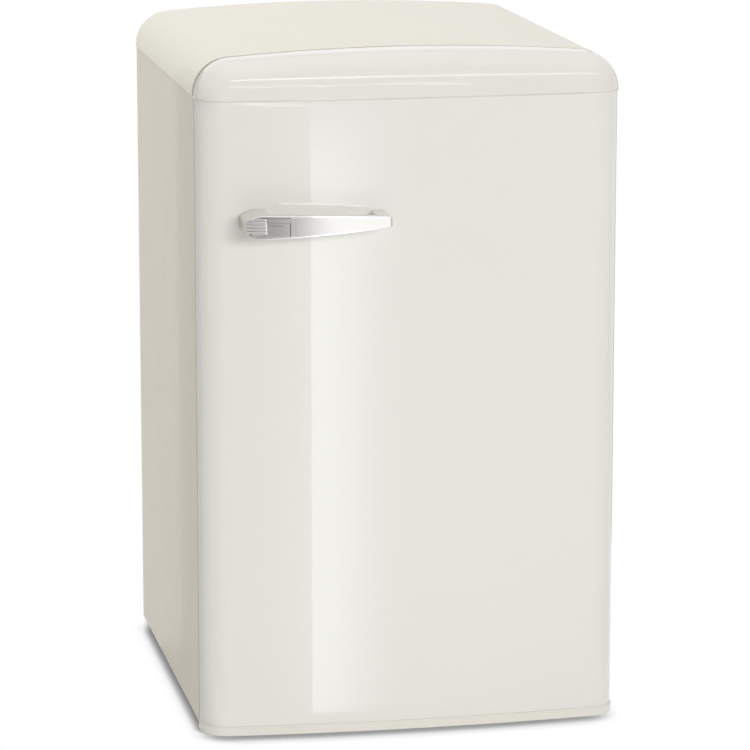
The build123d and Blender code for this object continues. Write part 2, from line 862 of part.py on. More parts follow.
def handle_draft():
    """Space of the handle with both posts slimmed above and below towards the door."""
    low_left, high_left, low_right, high_right = handle_edges(0)
    back = handle_front + handle_thickness
    low, high = handle_middle - handle_height_left, handle_middle + handle_height_left
    space = block(handle_left - 1, handle_right + 1, handle_front - 1, back, low, high)
    left, right = handle_posts()
    left_end = (left, low_left, high_left, handle_slim_left)
    right_end = (right, low_right, high_right, handle_slim_right)
    for (x0, x1), low, high, slim in (left_end, right_end):
        run = (post_end - back) / (door_front - back)
        corners = [
            (back, low - handle_belly),
            (back, high + cap_overhang),
            (post_end, high - slim * run),
            (post_end, low + slim * run / 3),
        ]
        side_view = Plane.YZ.offset(x0 - handle_thickness) * make_face(Polyline(*corners, close=True))
        space += extrude(side_view, amount=x1 - x0 + 2 * handle_thickness)
    return space


def handle_solid(drawn_in, plan, wraps=False, edge=0.0):
    """Handle block from a plan, cut to the front view."""
    low = handle_middle - handle_height_left
    body = extrude(Pos(0, 0, low) * plan, amount=2 * handle_height_left)
    return body & handle_front_view(drawn_in, wraps, edge)


def handle_bar(cuts):
    """Chromed handle: a tapering bar on two posts, with a recess round its wide end."""
    inner = make_face(
        Polyline(
            (handle_left + handle_post_left, post_end),
            (handle_left + handle_post_left, handle_front + handle_thickness),
            (handle_right - handle_post_right, handle_front + handle_thickness),
            (handle_right - handle_post_right, post_end),
            close=True,
        )
    )
    inner = fillet(inner.vertices().group_by(Axis.Y)[0], handle_thickness / 2)
    bar = handle_solid(0, handle_outline(0) - inner, False, handle_edge) & handle_draft()
    bar -= ornament_room(0)
    for cut in cuts:
        bar -= cut
    return bar


def ornament_room(clearance):
    """Space of the recess that wraps the wide end of the handle."""
    band = handle_outline(-1) - handle_outline(ornament_recess)
    limit = block(
        handle_left - 2,
        handle_left + ornament_length - clearance,
        handle_front - 2,
        handle_front + handle_post_left - clearance,
        0,
        overall_height,
    )
    return handle_solid(ornament_border + clearance, band, True) & limit


def ornament_frame():
    """Raised rims above and below the sunk panel and a broad rim at its right end."""
    band = handle_outline(ornament_sink) - handle_outline(ornament_recess)
    edge = ornament_border + ornament_clearance
    panel = handle_solid(edge + ornament_rim, handle_outline(-2), True)
    x0 = handle_left + ornament_rim_start
    x1 = handle_left + ornament_length
    panel &= block(handle_left - 2, x1 - ornament_end, handle_front - 2, front_y, 0, overall_height)
    rims = handle_solid(edge, band, True) - panel
    return rims & block(x0, x1, handle_front - 2, front_y, 0, overall_height)


def handle_ornament():
    """Ribbed insert: a thin wrapped plate with half round ribs round the end of the handle."""
    band = handle_outline(ornament_recess - ornament_plate) - handle_outline(ornament_recess)
    plate = handle_solid(ornament_border + ornament_clearance, band, True)
    x0 = handle_left + rib_radius
    y0 = handle_front + rib_radius
    bend = handle_bend_left - rib_radius
    pitch = (handle_height_left - 2 * ornament_border - 2 * rib_radius) / rib_count
    for i in range(rib_count):
        z = handle_middle + (i - (rib_count - 1) / 2) * pitch
        end = (x0, handle_front + handle_post_left - 2 * rib_radius, z)
        points = [(handle_left + rib_length, y0, z), (x0, y0, z), end]
        plate += tube(points, bend, rib_radius) + Pos(*points[0]) * Sphere(rib_radius)
    plate += ornament_frame()
    return plate & ornament_room(ornament_clearance) & handle_front_view(ornament_clearance)


def handle_pads():
    """Thin pads between the posts and the door."""
    space = door_form(-cap_overhang + handle_pad, skin_bottom, door_back)
    space -= door_form(-cap_overhang, skin_bottom - 1, door_back + 1)
    pads = []
    for x0, x1 in handle_posts():
        post = block(x0, x1, handle_front, door_back, 0, overall_height)
        pads.append(post & handle_front_view(ornament_clearance) & handle_draft() & space)
    return pads


def handle_screw_places():
    """Front view positions of the handle screws."""
    (left0, left1), (right0, right1) = handle_posts()
    return [((left0 + left1) / 2, handle_middle), ((right0 + right1) / 2, handle_middle + handle_rise)]


def handle_screw_seat(x):
    """Depth of the inside of the door skin behind a handle post."""
    radius = (half * half + bow_sagitta * bow_sagitta) / (2 * bow_sagitta)
    return door_front + cap_overhang + sheet + radius - math.sqrt(radius * radius - x * x)


def along_y(x, z, y0, y1, radius):
    """Round rod lying along Y."""
    return Pos(x, (y0 + y1) / 2, z) * Rot(90, 0, 0) * Cylinder(radius, y1 - y0)


def handle_screws():
    """Screws from inside the skin into the posts."""
    screws = []
    for x, z in handle_screw_places():
        seat = handle_screw_seat(abs(x) + screw_head_radius) + fit_gap
        shank = along_y(x, z, seat - handle_screw_length, seat, screw_radius)
        screws.append(shank + along_y(x, z, seat, seat + screw_head, screw_head_radius))
    return screws


def handle_screw_room(radius_gap):
    """Holes for the handle screws through the skin, pads and posts."""
    rooms = []
    for x, z in handle_screw_places():
        seat = handle_screw_seat(abs(x) + screw_head_radius)
        rooms.append(along_y(x, z, seat - handle_screw_length - 1, seat + fit_gap, screw_radius + radius_gap))
    return rooms


def handle_head_room():
    """Pockets in the foam for the heads of the handle screws."""
    rooms = []
    for x, z in handle_screw_places():
        seat = handle_screw_seat(abs(x) + screw_head_radius)
        rooms.append(along_y(x, z, seat - 2, seat + screw_head + 2 * fit_gap, screw_head_radius + fit_gap))
    return rooms


# Shelves

shelf_half = cavity_half - shelf_side_clearance
shelf_rear = cavity_back - shelf_back_clearance


def shelf_pane(level):
    """Toughened glass pane with rounded corners."""
    y0 = shelf_front + trim_wall + fit_gap
    y1 = shelf_rear - trim_wall - fit_gap
    face = RectangleRounded(2 * shelf_half, y1 - y0, liner_corner - shelf_side_clearance)
    return extrude(Pos(0, (y0 + y1) / 2, level) * face, amount=shelf_glass)


def trim_profile(depth, low, high, level):
    """Side view of a channel trim that grips the pane, its wall at local zero."""
    wall = Pos(trim_wall / 2, (low + high) / 2) * Rectangle(trim_wall, high - low)
    upper = Pos(depth / 2, level + shelf_glass + fit_gap + trim_wall / 2) * Rectangle(depth, trim_wall)
    lower = Pos(depth / 2, level - fit_gap - trim_wall / 2) * Rectangle(depth, trim_wall)
    return wall + upper + lower


def shelf_front_trim(level):
    """Front trim with a deep nose."""
    high = level + shelf_glass + fit_gap + trim_wall
    profile = trim_profile(trim_depth, high - trim_height, high, level)
    trim = extrude(Plane.YZ * Pos(shelf_front, 0) * profile, amount=shelf_half, both=True)
    nose = trim.edges().filter_by(Axis.X).filter_by(lambda e: e.center().Y < shelf_front + 0.01)
    return fillet(nose, trim_wall / 2)


def shelf_rear_trim(level):
    """Rear trim with an upstand that keeps food off the back wall."""
    high = level + shelf_glass + rear_trim_lip
    profile = trim_profile(trim_depth, level - fit_gap - trim_wall, high, level)
    reach = cavity_half - shelf_rib_reach - 2 * fit_gap
    return extrude(Plane.YZ * Pos(shelf_rear, 0) * mirror(profile, Plane.YZ), amount=reach, both=True)


# Crisper drawer and door bins

drawer_front = shelf_front + drawer_front_setback
drawer_low = cavity_floor + drawer_clearance
drawer_high = shelf_levels[0] - drawer_top_clearance


def crisper_drawer():
    """Tapered drawer with a rim, a grip lip at the front and runners under the floor."""
    reach = cavity_half - drawer_side_clearance
    top = (-reach, reach, drawer_front, step_front - drawer_back_clearance)
    bottom = inset(top, drawer_draft)
    body = tray(bottom, top, drawer_low, drawer_high, drawer_corner)
    lip_y = drawer_front - drawer_lip
    reach = drawer_lip_half
    low = drawer_high - drawer_lip_thickness
    lip = block(-reach, reach, lip_y, drawer_front + drawer_lip, low, drawer_high)
    curl = block(-reach, reach, lip_y, lip_y + drawer_wall, drawer_high - drawer_lip_drop, drawer_high)
    grip = fillet((lip + curl).edges().filter_by(Axis.Z), drawer_wall / 2.4)
    floor = drawer_low + drawer_wall
    inner = inset(bottom, drawer_wall), inset(top, drawer_wall)
    hollow = tray(*inner, floor, drawer_high + 0.01, drawer_corner - drawer_wall)
    return body + grip - hollow


def door_bin(level, height):
    """Tapered bin that hangs by pockets over the lugs of the inner door panel."""
    reach = dyke_inner_half - lug_reach - bin_side_clearance
    top = (-reach, reach, door_back + bin_side_clearance, front_y + bin_reach)
    x0, x1, y0, y1 = inset(top, bin_draft)
    bottom = (x0, x1, top[2], y1)
    body = tray(bottom, top, level, level + height, bin_corner)
    outer = dyke_inner_half - bin_side_clearance
    for side, lug_y0, lug_y1, lug_z0, lug_z1 in bin_lugs():
        if level < lug_z0 < level + height:
            wall = lug_clearance + bin_wall
            x0, x1 = sorted((side * (reach - bin_draft - bin_wall), side * outer))
            body += block(x0, x1, lug_y0 - wall, lug_y1 + wall, lug_z0, lug_z1 + wall)
    inner = inset(top, bin_wall)
    floor = level + bin_wall
    body -= tray(inset(bottom, bin_wall), inner, floor, level + height + 0.01, bin_corner - bin_wall)
    for side, lug_y0, lug_y1, lug_z0, lug_z1 in bin_lugs():
        if level < lug_z0 < level + height:
            gap = lug_clearance
            x0, x1 = sorted((side * (dyke_inner_half - lug_reach - gap), side * (outer + 1)))
            body -= block(x0, x1, lug_y0 - gap, lug_y1 + gap, level - 1, lug_z1 + gap)
    return body


# Thermostat, lamp and door switch

control_y = front_y + control_setback
control_x = cavity_half - control_reach
control_z = (control_low + control_high) / 2
lamp_y = control_y + control_length + control_joint
knob_y = front_y + knob_setback
plunger_x = dyke_half - dyke_width / 2


def wall_box(y0, y1):
    """Rounded box shell on the right wall of the cavity, open towards the wall."""
    outer = block(control_x, cavity_half, y0, y1, control_low, control_high)
    outer = fillet(edges_at(outer, "X", control_x), 3 * control_wall)
    wall = control_wall
    low = control_low + wall
    return outer - block(control_x + wall, cavity_half + 1, y0 + wall, y1 - wall, low, control_high - wall)


def along_x(y, z, x0, x1, radius):
    """Round rod lying along X."""
    return Pos((x0 + x1) / 2, y, z) * Rot(0, 90, 0) * Cylinder(radius, x1 - x0)


def control_housing():
    """Housing of the thermostat, with bores for the knob's shaft and the door switch."""
    shell = wall_box(control_y, control_y + control_length)
    shaft_bore = knob_shaft_radius + running_clearance
    shell -= along_x(knob_y, control_z, control_x - 1, control_x + 2 * control_wall, shaft_bore)
    switch_bore = plunger_radius + running_clearance
    return shell - along_y(plunger_x, control_z, control_y - 1, control_y + 2 * control_wall, switch_bore)


def lamp_cover():
    """Clear cover of the lamp, ribbed on its face."""
    cover = wall_box(lamp_y, lamp_y + lamp_cover_length)
    y0 = lamp_y + lamp_rib_inset
    y1 = lamp_y + lamp_cover_length - lamp_rib_inset
    for i in range(lamp_rib_count):
        z = control_low + control_height * (i + 1) / (lamp_rib_count + 1)
        x0 = control_x - lamp_rib_proud
        cover += block(x0, control_x + control_wall / 2, y0, y1, z - lamp_rib_half, z + lamp_rib_half)
    return cover


def thermostat():
    """Thermostat switch behind the knob, fixed to the wall."""
    x0 = control_x + control_wall + thermostat_gap
    y0 = knob_y - thermostat_half_length
    z0 = control_z - thermostat_half_height
    box = block(x0, cavity_half, y0, y0 + 2 * thermostat_half_length, z0, z0 + 2 * thermostat_half_height)
    return fillet(edges_at(box, "X", x0), thermostat_half_height / 6)


def thermostat_knob():
    """Round dial with a finger bar and a shaft through the housing."""
    face = control_x - knob_gap
    dial = along_x(knob_y, control_z, face - knob_height * 0.45, face, knob_radius)
    dial = fillet(edges_at(dial, "X", face - knob_height * 0.45), 1.5)
    y0, y1 = knob_y - knob_bar_half, knob_y + knob_bar_half
    reach = knob_radius * 0.85
    bar = block(face - knob_height, face - knob_height * 0.2, y0, y1, control_z - reach, control_z + reach)
    bar = fillet(edges_at(bar, "X", face - knob_height), knob_bar_half / 2)
    shaft_end = control_x + control_wall + thermostat_gap - knob_gap
    return dial + bar + along_x(knob_y, control_z, face - 1, shaft_end, knob_shaft_radius)


def door_switch_plunger():
    """Plunger that the door's dyke holds in, with a collar that keeps it in the housing."""
    tip = dyke_crest + plunger_rest_gap
    pin = along_y(plunger_x, control_z, tip, tip + plunger_length, plunger_radius)
    pin = fillet(edges_at(pin, "Y", tip), 1.2)
    collar = control_y + control_wall + plunger_stroke + plunger_collar
    collar_radius = plunger_radius + plunger_collar_lip
    return pin + along_y(plunger_x, control_z, collar, collar + plunger_collar, collar_radius)


lamp_x = (control_x + cavity_half) / 2


def lamp_holder():
    """Round lamp holder on the end wall of the housing."""
    y0 = control_y + control_length
    start = y0 + control_wall + control_joint
    holder = along_y(lamp_x, control_z, start, y0 + lamp_holder_length, lamp_radius * 0.8)
    low = control_z - lamp_arm_half
    arm = block(lamp_x, cavity_half, start + 1, y0 + lamp_arm_length, low, low + 2 * lamp_arm_half)
    return holder + arm


def lamp_bulb():
    """Pear shaped bulb, turned about its axis."""
    y0 = control_y + control_length + lamp_holder_length
    neck = lamp_radius * 0.62
    tip = lamp_length - lamp_radius
    shoulder = (neck, lamp_length * 0.25)
    outline = Polyline((0, 0), (neck, 0), shoulder)
    side = Spline(shoulder, (lamp_radius, tip), (0, lamp_length), tangents=((0, 1), (-1, 0)))
    face = make_face(outline + side + Line((0, lamp_length), (0, 0)))
    return Pos(lamp_x, y0, control_z) * Rot(-90, 0, 0) * revolve(Plane.XZ * face, Axis.Z)


# Feet and rollers

foot_x = half - foot_inset_x
foot_y = front_y + foot_inset_y
socket_radius = stud_radius + running_clearance + socket_wall
socket_top = foot_height + stud_length + 2 * socket_cap


def levelling_foot(side):
    """Screw foot: a ribbed disc and a threaded stud."""
    disc = rod(side * foot_x, foot_y, 0, foot_height, foot_radius)
    disc = chamfer(edges_at(disc, "Z", 0), foot_rim * 0.6)
    for i in range(12):
        angle = math.radians(30 * i)
        x = side * foot_x + foot_radius * math.cos(angle)
        disc -= rod(x, foot_y + foot_radius * math.sin(angle), foot_rim, foot_height + 1, foot_notch)
    return disc + rod(side * foot_x, foot_y, foot_height, foot_height + stud_length, stud_radius)


def foot_socket(side):
    """Threaded socket let into the base pan."""
    low = base_z - socket_flange
    tube_part = rod(side * foot_x, foot_y, low, socket_top, socket_radius)
    flange = rod(side * foot_x, foot_y, low, base_z, socket_radius + socket_lip)
    thread = rod(side * foot_x, foot_y, 0, socket_top - socket_cap, stud_radius + running_clearance)
    return tube_part + flange - thread


def socket_room(side):
    """Hole for a foot socket."""
    return rod(side * foot_x, foot_y, base_z - 1, socket_top + fit_gap, socket_radius + fit_gap)


roller_x = half - roller_inset_x
roller_y = rear_y - roller_inset_y
ear_reach = roller_width / 2 + ear_gap + ear_thickness


def roller(side):
    """Roller with a rounded tread and a bore for its axle."""
    x = side * roller_x
    wheel = along_x(roller_y, roller_radius, x - roller_width / 2, x + roller_width / 2, roller_radius)
    wheel = fillet(wheel.edges().filter_by(GeomType.CIRCLE), 2.0)
    bore = axle_radius + running_clearance
    return wheel - along_x(roller_y, roller_radius, x - roller_width, x + roller_width, bore)


def roller_axle(side):
    """Riveted axle pin between two ears."""
    x = side * roller_x
    pin = along_x(roller_y, roller_radius, x - ear_reach - axle_head, x + ear_reach + axle_head, axle_radius)
    for end in (-1, 1):
        x0, x1 = sorted((x + end * (ear_reach + fit_gap), x + end * (ear_reach + axle_head)))
        pin += along_x(roller_y, roller_radius, x0, x1, axle_radius + axle_head_lip)
    return pin


def compressor_rail():
    """Rear floor rail with upturned ends, roller slots and ears."""
    y0, y1 = bay_front, rear_y - rail_rear_gap
    reach = inner_half - fit_gap
    rail = block(-reach, reach, y0, y1, base_z, rail_top)
    for side in (-1, 1):
        x0, x1 = sorted((side * reach, side * (reach - rail_thickness)))
        rail += block(x0, x1, y0 + bend_radius, y1, base_z, rail_top + rail_lip)
        x = side * roller_x
        gap = ear_reach - ear_thickness / 2
        reach_y = roller_radius + slot_clearance
        rail -= block(x - gap, x + gap, roller_y - reach_y, roller_y + reach_y, 0, rail_top + 1)
        head_gap = ear_reach + axle_head + slot_clearance / 2
        head_y = axle_radius + slot_clearance
        rail -= block(x - head_gap, x + head_gap, roller_y - head_y, roller_y + head_y, 0, rail_top + 1)
        for end in (-1, 1):
            x0, x1 = sorted((x + end * ear_reach, x + end * (ear_reach - ear_thickness)))
            low, high = roller_radius - ear_low, roller_radius + ear_high
            rail += block(x0, x1, roller_y - ear_half, roller_y + ear_half, low, high)
        rail -= along_x(roller_y, roller_radius, x - 2 * ear_reach, x + 2 * ear_reach, axle_radius + 0.02)
    for x, y in mount_places():
        rail -= rod(x, y, 0, rail_top + 1, bolt_radius + fit_gap)
    return rail


# Compressor and refrigerant circuit

plate_top = rail_top + compressor_lift
compressor_top = plate_top + compressor_height
waist = grommet_radius * 0.6


def mount_places():
    """Plan positions of the four compressor mounts."""
    places = []
    for sx in (-1, 1):
        for sy in (-1, 1):
            places.append((compressor_x + sx * mount_spread_x / 2, bay_middle + sy * mount_spread_y / 2))
    return places


def compressor_shell():
    """Welded pot: domed top and bottom halves with the weld flange between them."""
    centre = Pos(compressor_x, bay_middle, plate_top)
    pot = centre * extrude(Ellipse(compressor_length / 2, compressor_width / 2), amount=compressor_height)
    pot = fillet(edges_at(pot, "Z", compressor_top), 0.3 * compressor_height)
    pot = fillet(edges_at(pot, "Z", plate_top), 0.2 * compressor_height)
    rim = Ellipse(compressor_length / 2 + weld_flange, compressor_width / 2 + weld_flange)
    middle = Pos(compressor_x, bay_middle, plate_top + compressor_height / 2)
    return pot + middle * extrude(rim, amount=weld_flange)


def compressor_plate():
    """Foot plate under the compressor with a hole for each grommet."""
    length = mount_spread_x + 2 * (grommet_radius + mount_margin)
    width = mount_spread_y + 2 * (grommet_radius + mount_margin)
    low = Pos(compressor_x, bay_middle, plate_top - rail_thickness)
    plate = low * extrude(RectangleRounded(length, width, grommet_radius), amount=rail_thickness)
    for x, y in mount_places():
        plate -= rod(x, y, 0, compressor_top, waist + fit_gap)
    return plate


def grommet(x, y):
    """Rubber mount with a waist that holds the foot plate."""
    low = plate_top - rail_thickness
    mount = rod(x, y, rail_top, low, grommet_radius)
    mount += rod(x, y, low, plate_top, waist)
    mount += rod(x, y, plate_top, plate_top + grommet_cap, grommet_radius * 0.9)
    return mount - rod(x, y, 0, compressor_top, bolt_radius + fit_gap)


def mount_bolt(x, y):
    """Bolt and nut through a grommet and the rail."""
    head = plate_top + grommet_cap
    bolt = rod(x, y, base_z - bolt_tail, head, bolt_radius)
    for z0, z1 in ((head, head + bolt_head), (base_z - bolt_tail, base_z)):
        bolt += Pos(x, y, z0) * extrude(RegularPolygon(bolt_head_radius, 6), amount=z1 - z0)
    return bolt


def relay_cover():
    """Cover of the relay and terminals, shaped to the side of the compressor."""
    x1 = compressor_x + compressor_length / 2 + relay_depth
    low = plate_top + 0.22 * compressor_height
    cover = block(compressor_x, x1, bay_middle - relay_half, bay_middle + relay_half, low, low + relay_height)
    cover = fillet(edges_at(cover, "X", x1), relay_corner)
    return cover - compressor_shell()


def cord_gland():
    """Bush on the relay cover where the supply cord enters."""
    x = compressor_x + compressor_length / 2 + relay_depth / 2
    z = plate_top + 0.22 * compressor_height + gland_rise
    y0 = bay_middle + relay_half
    bush = along_y(x, z, y0, y0 + gland_length, gland_radius)
    bush = chamfer(edges_at(bush, "Y", y0 + gland_length), gland_chamfer)
    return bush - along_y(x, z, y0 - 1, y0 + gland_length + 1, gland_bore)


tube_y = rear_y - condenser_recess / 2
condenser_top = seam_z - condenser_top_gap
condenser_low = condenser_top - condenser_pitch * (condenser_passes - 1)
condenser_half = condenser_width / 2
condenser_bend = condenser_pitch / 2
riser_x = -condenser_half - condenser_bend - riser_gap
discharge_z = plate_top + 0.25 * compressor_height
suction_z = plate_top + 0.62 * compressor_height
drier_z = discharge_z + drier_rise
drier_x = -condenser_half + drier_offset
pipe_x = compressor_x - compressor_length / 2


def discharge_points():
    """Route of the discharge pipe from the compressor to the foot of the condenser."""
    x = pipe_x - 3 * condenser_bend
    return [
        (pipe_x - fit_gap, bay_middle, discharge_z),
        (x, bay_middle, discharge_z),
        (x, tube_y, discharge_z),
        (x - 2 * condenser_bend, tube_y, discharge_z),
    ]


def condenser_tube():
    """One serpentine tube: from the discharge pipe up the back, across in passes and down to the drier."""
    points = [
        (discharge_points()[-1][0] - fit_gap, tube_y, discharge_z),
        (riser_x, tube_y, discharge_z),
        (riser_x, tube_y, condenser_top),
    ]
    for i in range(condenser_passes):
        z = condenser_top - i * condenser_pitch
        ends = (-condenser_half, condenser_half) if i % 2 == 0 else (condenser_half, -condenser_half)
        if i > 0:
            points.append((ends[0], tube_y, z))
        points.append((ends[1], tube_y, z))
    points.append((-condenser_half, tube_y, drier_z))
    points.append((drier_x, tube_y, drier_z))
    return tube(points, condenser_bend, tube_radius)


def condenser_wires():
    """Upright wires on both faces of the condenser."""
    count = 2 * int(condenser_width / wire_pitch / 2)
    offset = tube_radius + wire_gap + wire_size / 2
    wires = []
    for i in range(count):
        x = (i - (count - 1) / 2) * wire_pitch
        for side in (-1, 1):
            centre = Pos(x, tube_y + side * offset, (condenser_low + condenser_top) / 2)
            wires.append(centre * Box(wire_size, wire_size, condenser_top - condenser_low + condenser_pitch))
    return wires


def condenser_clips():
    """Standoff clips between the back panel and the condenser."""
    clips = []
    for row in (1, condenser_passes - 2):
        z = condenser_top - row * condenser_pitch
        for side in (-1, 1):
            x = side * clip_pitches * wire_pitch
            y1 = tube_y + tube_radius + clip_wrap
            clip = block(x - clip_half, x + clip_half, back_y, y1, z - clip_height, z + clip_height)
            bore = tube_radius + fit_gap
            clips.append(clip - along_x(tube_y, z, x - 2 * clip_half, x + 2 * clip_half, bore))
    return clips


def filter_drier():
    """Copper drier with tapered necks, turned about its axis."""
    neck = tube_radius + 1.0
    profile = Polyline(
        (0, 0),
        (neck, 0),
        (neck, drier_neck),
        (drier_radius, drier_neck + drier_cone),
        (drier_radius, drier_length - drier_neck - drier_cone),
        (neck, drier_length - drier_neck),
        (neck, drier_length),
        (0, drier_length),
        close=True,
    )
    body = revolve(Plane.XZ * make_face(profile), Axis.Z)
    return Pos(drier_x + fit_gap, tube_y, drier_z) * Rot(0, 90, 0) * body


def capillary_points():
    """Route of the capillary from the drier to the ceiling of the bay."""
    end = drier_x + drier_length + 2 * fit_gap
    x = end + capillary_reach
    y = back_y - capillary_inset
    return [(end, tube_y, drier_z), (x, tube_y, drier_z), (x, y, drier_z), (x, y, bay_top + pipe_rise)]


def suction_points():
    """Route of the suction pipe from the ceiling of the bay to the compressor."""
    x = pipe_x - suction_reach
    top = (x, bay_middle, bay_top + pipe_rise)
    return [(pipe_x - fit_gap, bay_middle, suction_z), (x, bay_middle, suction_z), top]


def pipe_rooms():
    """Holes for the two pipes in the bay ceiling and the foam."""
    rooms = []
    for points, radius in ((capillary_points(), capillary_radius), (suction_points(), suction_radius)):
        x, y, z = points[-1]
        rooms.append(rod(x, y, bay_top - 2, z + fit_gap, radius + fit_gap))
    return rooms


def drain_tube():
    """Drain from the step of the liner down through the bay ceiling."""
    x, y = drain_place()
    outer = rod(x, y, bay_top - drain_drop, step_top, drain_radius)
    return outer - rod(x, y, 0, step_top + 1, drain_radius - drain_wall)


def drain_room():
    """Hole for the drain tube."""
    x, y = drain_place()
    return rod(x, y, bay_top - 1, step_top, drain_radius + fit_gap)


def drip_tray():
    """Evaporation tray on top of the compressor."""
    reach_x, reach_y = 0.44 * compressor_length, 0.42 * compressor_width
    top = (compressor_x - reach_x, compressor_x + reach_x, bay_middle - reach_y, bay_middle + reach_y)
    bottom = inset(top, drip_tray_draft)
    wall = drip_tray_wall
    low = compressor_top
    high = low + drip_tray_height
    body = tray(bottom, top, low, high, drip_tray_corner)
    inner = inset(bottom, wall), inset(top, wall)
    return body - tray(*inner, low + wall, high + 0.01, drip_tray_corner - wall)


evaporator_low = step_top + evaporator_low_gap
evaporator_high = cavity_top - evaporator_high_gap


def evaporator():
    """Cold plate bonded to the back of the liner, with its channel pressed out of the sheet."""
    y0 = cavity_back + liner_wall
    y1 = y0 + evaporator_sheet
    plate = block(-evaporator_half, evaporator_half, y0, y1, evaporator_low, evaporator_high)
    pitch = (evaporator_high - evaporator_low) / evaporator_passes
    reach = evaporator_half - evaporator_side_gap
    points = []
    for i in range(evaporator_passes):
        z = evaporator_low + pitch * (i + 0.5)
        ends = (-reach, reach) if i % 2 == 0 else (reach, -reach)
        points.append((ends[0], y0 + evaporator_sheet, z))
        points.append((ends[1], y0 + evaporator_sheet, z))
    channel = tube(points, pitch / 2, evaporator_channel)
    return plate + (channel & block(-half, half, y0, back_y, 0, overall_height))


# Assembly: each piece with what is let into it

mirror_plane = Plane.YZ
top_plate_z = seam_z
bottom_plate_z = base_z - hinge_plate
sides = (-1, 1)

top_screw_seat = top_plate_z + hinge_plate
bottom_screw_seat = bottom_plate_z
top_screw_rooms = [screw_hole(x, y, top_screw_seat, -1, hinge_screw_length) for x, y in hinge_screw_places()]
bottom_screw_rooms = [
    screw_hole(x, y, bottom_screw_seat, 1, hinge_screw_length) for x, y in hinge_screw_places()
]
socket_rooms = [socket_room(side) for side in sides]

top_bush_span = (door_top - pin_length - 1.0, door_top, door_top)
bottom_bush_span = (notch_roof, notch_roof + pin_length + 1.0, notch_roof)
bush_rooms = [bush_room(*top_bush_span), bush_room(*bottom_bush_span)]

evaporator_plate = evaporator()
skin_space = door_form(-cap_overhang + handle_pad, skin_bottom, door_back)


def with_cuts(shape, cuts):
    """Shape less a list of cuts."""
    for cut in cuts:
        shape = shape - cut
    return shape


def hinge_screws():
    """Screws of both hinges."""
    top = [screw(x, y, top_screw_seat, -1, hinge_screw_length) for x, y in hinge_screw_places()]
    bottom = [screw(x, y, bottom_screw_seat, 1, hinge_screw_length) for x, y in hinge_screw_places()]
    return top + bottom


right_side = side_panel()

pieces = {
    "right_side_panel": right_side,
    "left_side_panel": mirror(right_side, mirror_plane),
    "top_panel": with_cuts(top_panel(), top_screw_rooms),
    "base_pan": with_cuts(base_pan(), bottom_screw_rooms + socket_rooms),
    "back_panel": back_panel(),
    "bay_panel": with_cuts(bay_panel(), pipe_rooms() + [drain_room()]),
    "inner_liner": inner_liner(),
    "cabinet_foam": cabinet_foam(
        top_screw_rooms + bottom_screw_rooms + socket_rooms + pipe_rooms() + [drain_room(), evaporator_plate]
    ),
    "top_cover": top_cover(),
    "evaporator": evaporator_plate,
    "top_hinge": hinge_plate_solid(top_plate_z),
    "bottom_hinge": hinge_plate_solid(bottom_plate_z),
    "hinge_pins": [hinge_pin(top_plate_z, False), hinge_pin(bottom_plate_z, True)],
    "hinge_screws": hinge_screws(),
    "door_skin": door_skin(handle_screw_room(fit_gap)),
    "door_top_cap": door_top_cap(),
    "door_bottom_cap": door_bottom_cap(bush_rooms),
    "door_liner": door_liner(),
    "door_foam": door_foam(bush_rooms + handle_head_room()),
    "door_gasket": door_gasket(),
    "gasket_magnets": gasket_magnets(),
    "hinge_bushes": [door_bush(*top_bush_span), door_bush(*bottom_bush_span)],
    "handle_bar": handle_bar([skin_space] + handle_screw_room(fit_gap)),
    "handle_ornament": handle_ornament(),
    "handle_pads": [with_cuts(pad, handle_screw_room(fit_gap)) for pad in handle_pads()],
    "handle_screws": handle_screws(),
    "glass_shelves": [shelf_pane(level) for level in shelf_levels],
    "shelf_front_trims": [shelf_front_trim(level) for level in shelf_levels],
    "shelf_rear_trims": [shelf_rear_trim(level) for level in shelf_levels],
    "crisper_drawer": crisper_drawer(),
    "control_housing": control_housing(),
    "lamp_cover": lamp_cover(),
    "lamp_holder": lamp_holder(),
    "lamp_bulb": lamp_bulb(),
    "thermostat": thermostat(),
    "thermostat_knob": thermostat_knob(),
    "door_switch_plunger": door_switch_plunger(),
    "left_foot": levelling_foot(-1),
    "right_foot": levelling_foot(1),
    "foot_sockets": [foot_socket(side) for side in sides],
    "left_roller": roller(-1),
    "right_roller": roller(1),
    "roller_axles": [roller_axle(side) for side in sides],
    "compressor_rail": compressor_rail(),
    "compressor": compressor_shell(),
    "compressor_plate": compressor_plate(),
    "compressor_grommets": [grommet(x, y) for x, y in mount_places()],
    "compressor_bolts": [mount_bolt(x, y) for x, y in mount_places()],
    "relay_cover": relay_cover(),
    "cord_gland": cord_gland(),
    "condenser_tube": condenser_tube(),
    "condenser_wires": condenser_wires(),
    "condenser_clips": condenser_clips(),
    "filter_drier": filter_drier(),
    "refrigerant_pipes": [
        tube(discharge_points(), condenser_bend, tube_radius),
        tube(capillary_points(), capillary_bend, capillary_radius),
        tube(suction_points(), suction_bend, suction_radius),
    ],
    "drain_tube": drain_tube(),
    "drip_tray": drip_tray(),
}
for name, level, height in zip(("bottle_bin", "middle_bin", "top_bin"), bin_levels, bin_heights):
    pieces[name] = door_bin(level, height)

os.makedirs("parts", exist_ok=True)
for name, piece in pieces.items():
    solids = []
    for item in piece if isinstance(piece, list) else [piece]:
        solids.extend(item.solids())
    export_step(Compound(solids) if len(solids) > 1 else solids[0], "parts/" + name + ".step")
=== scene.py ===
import json
import math

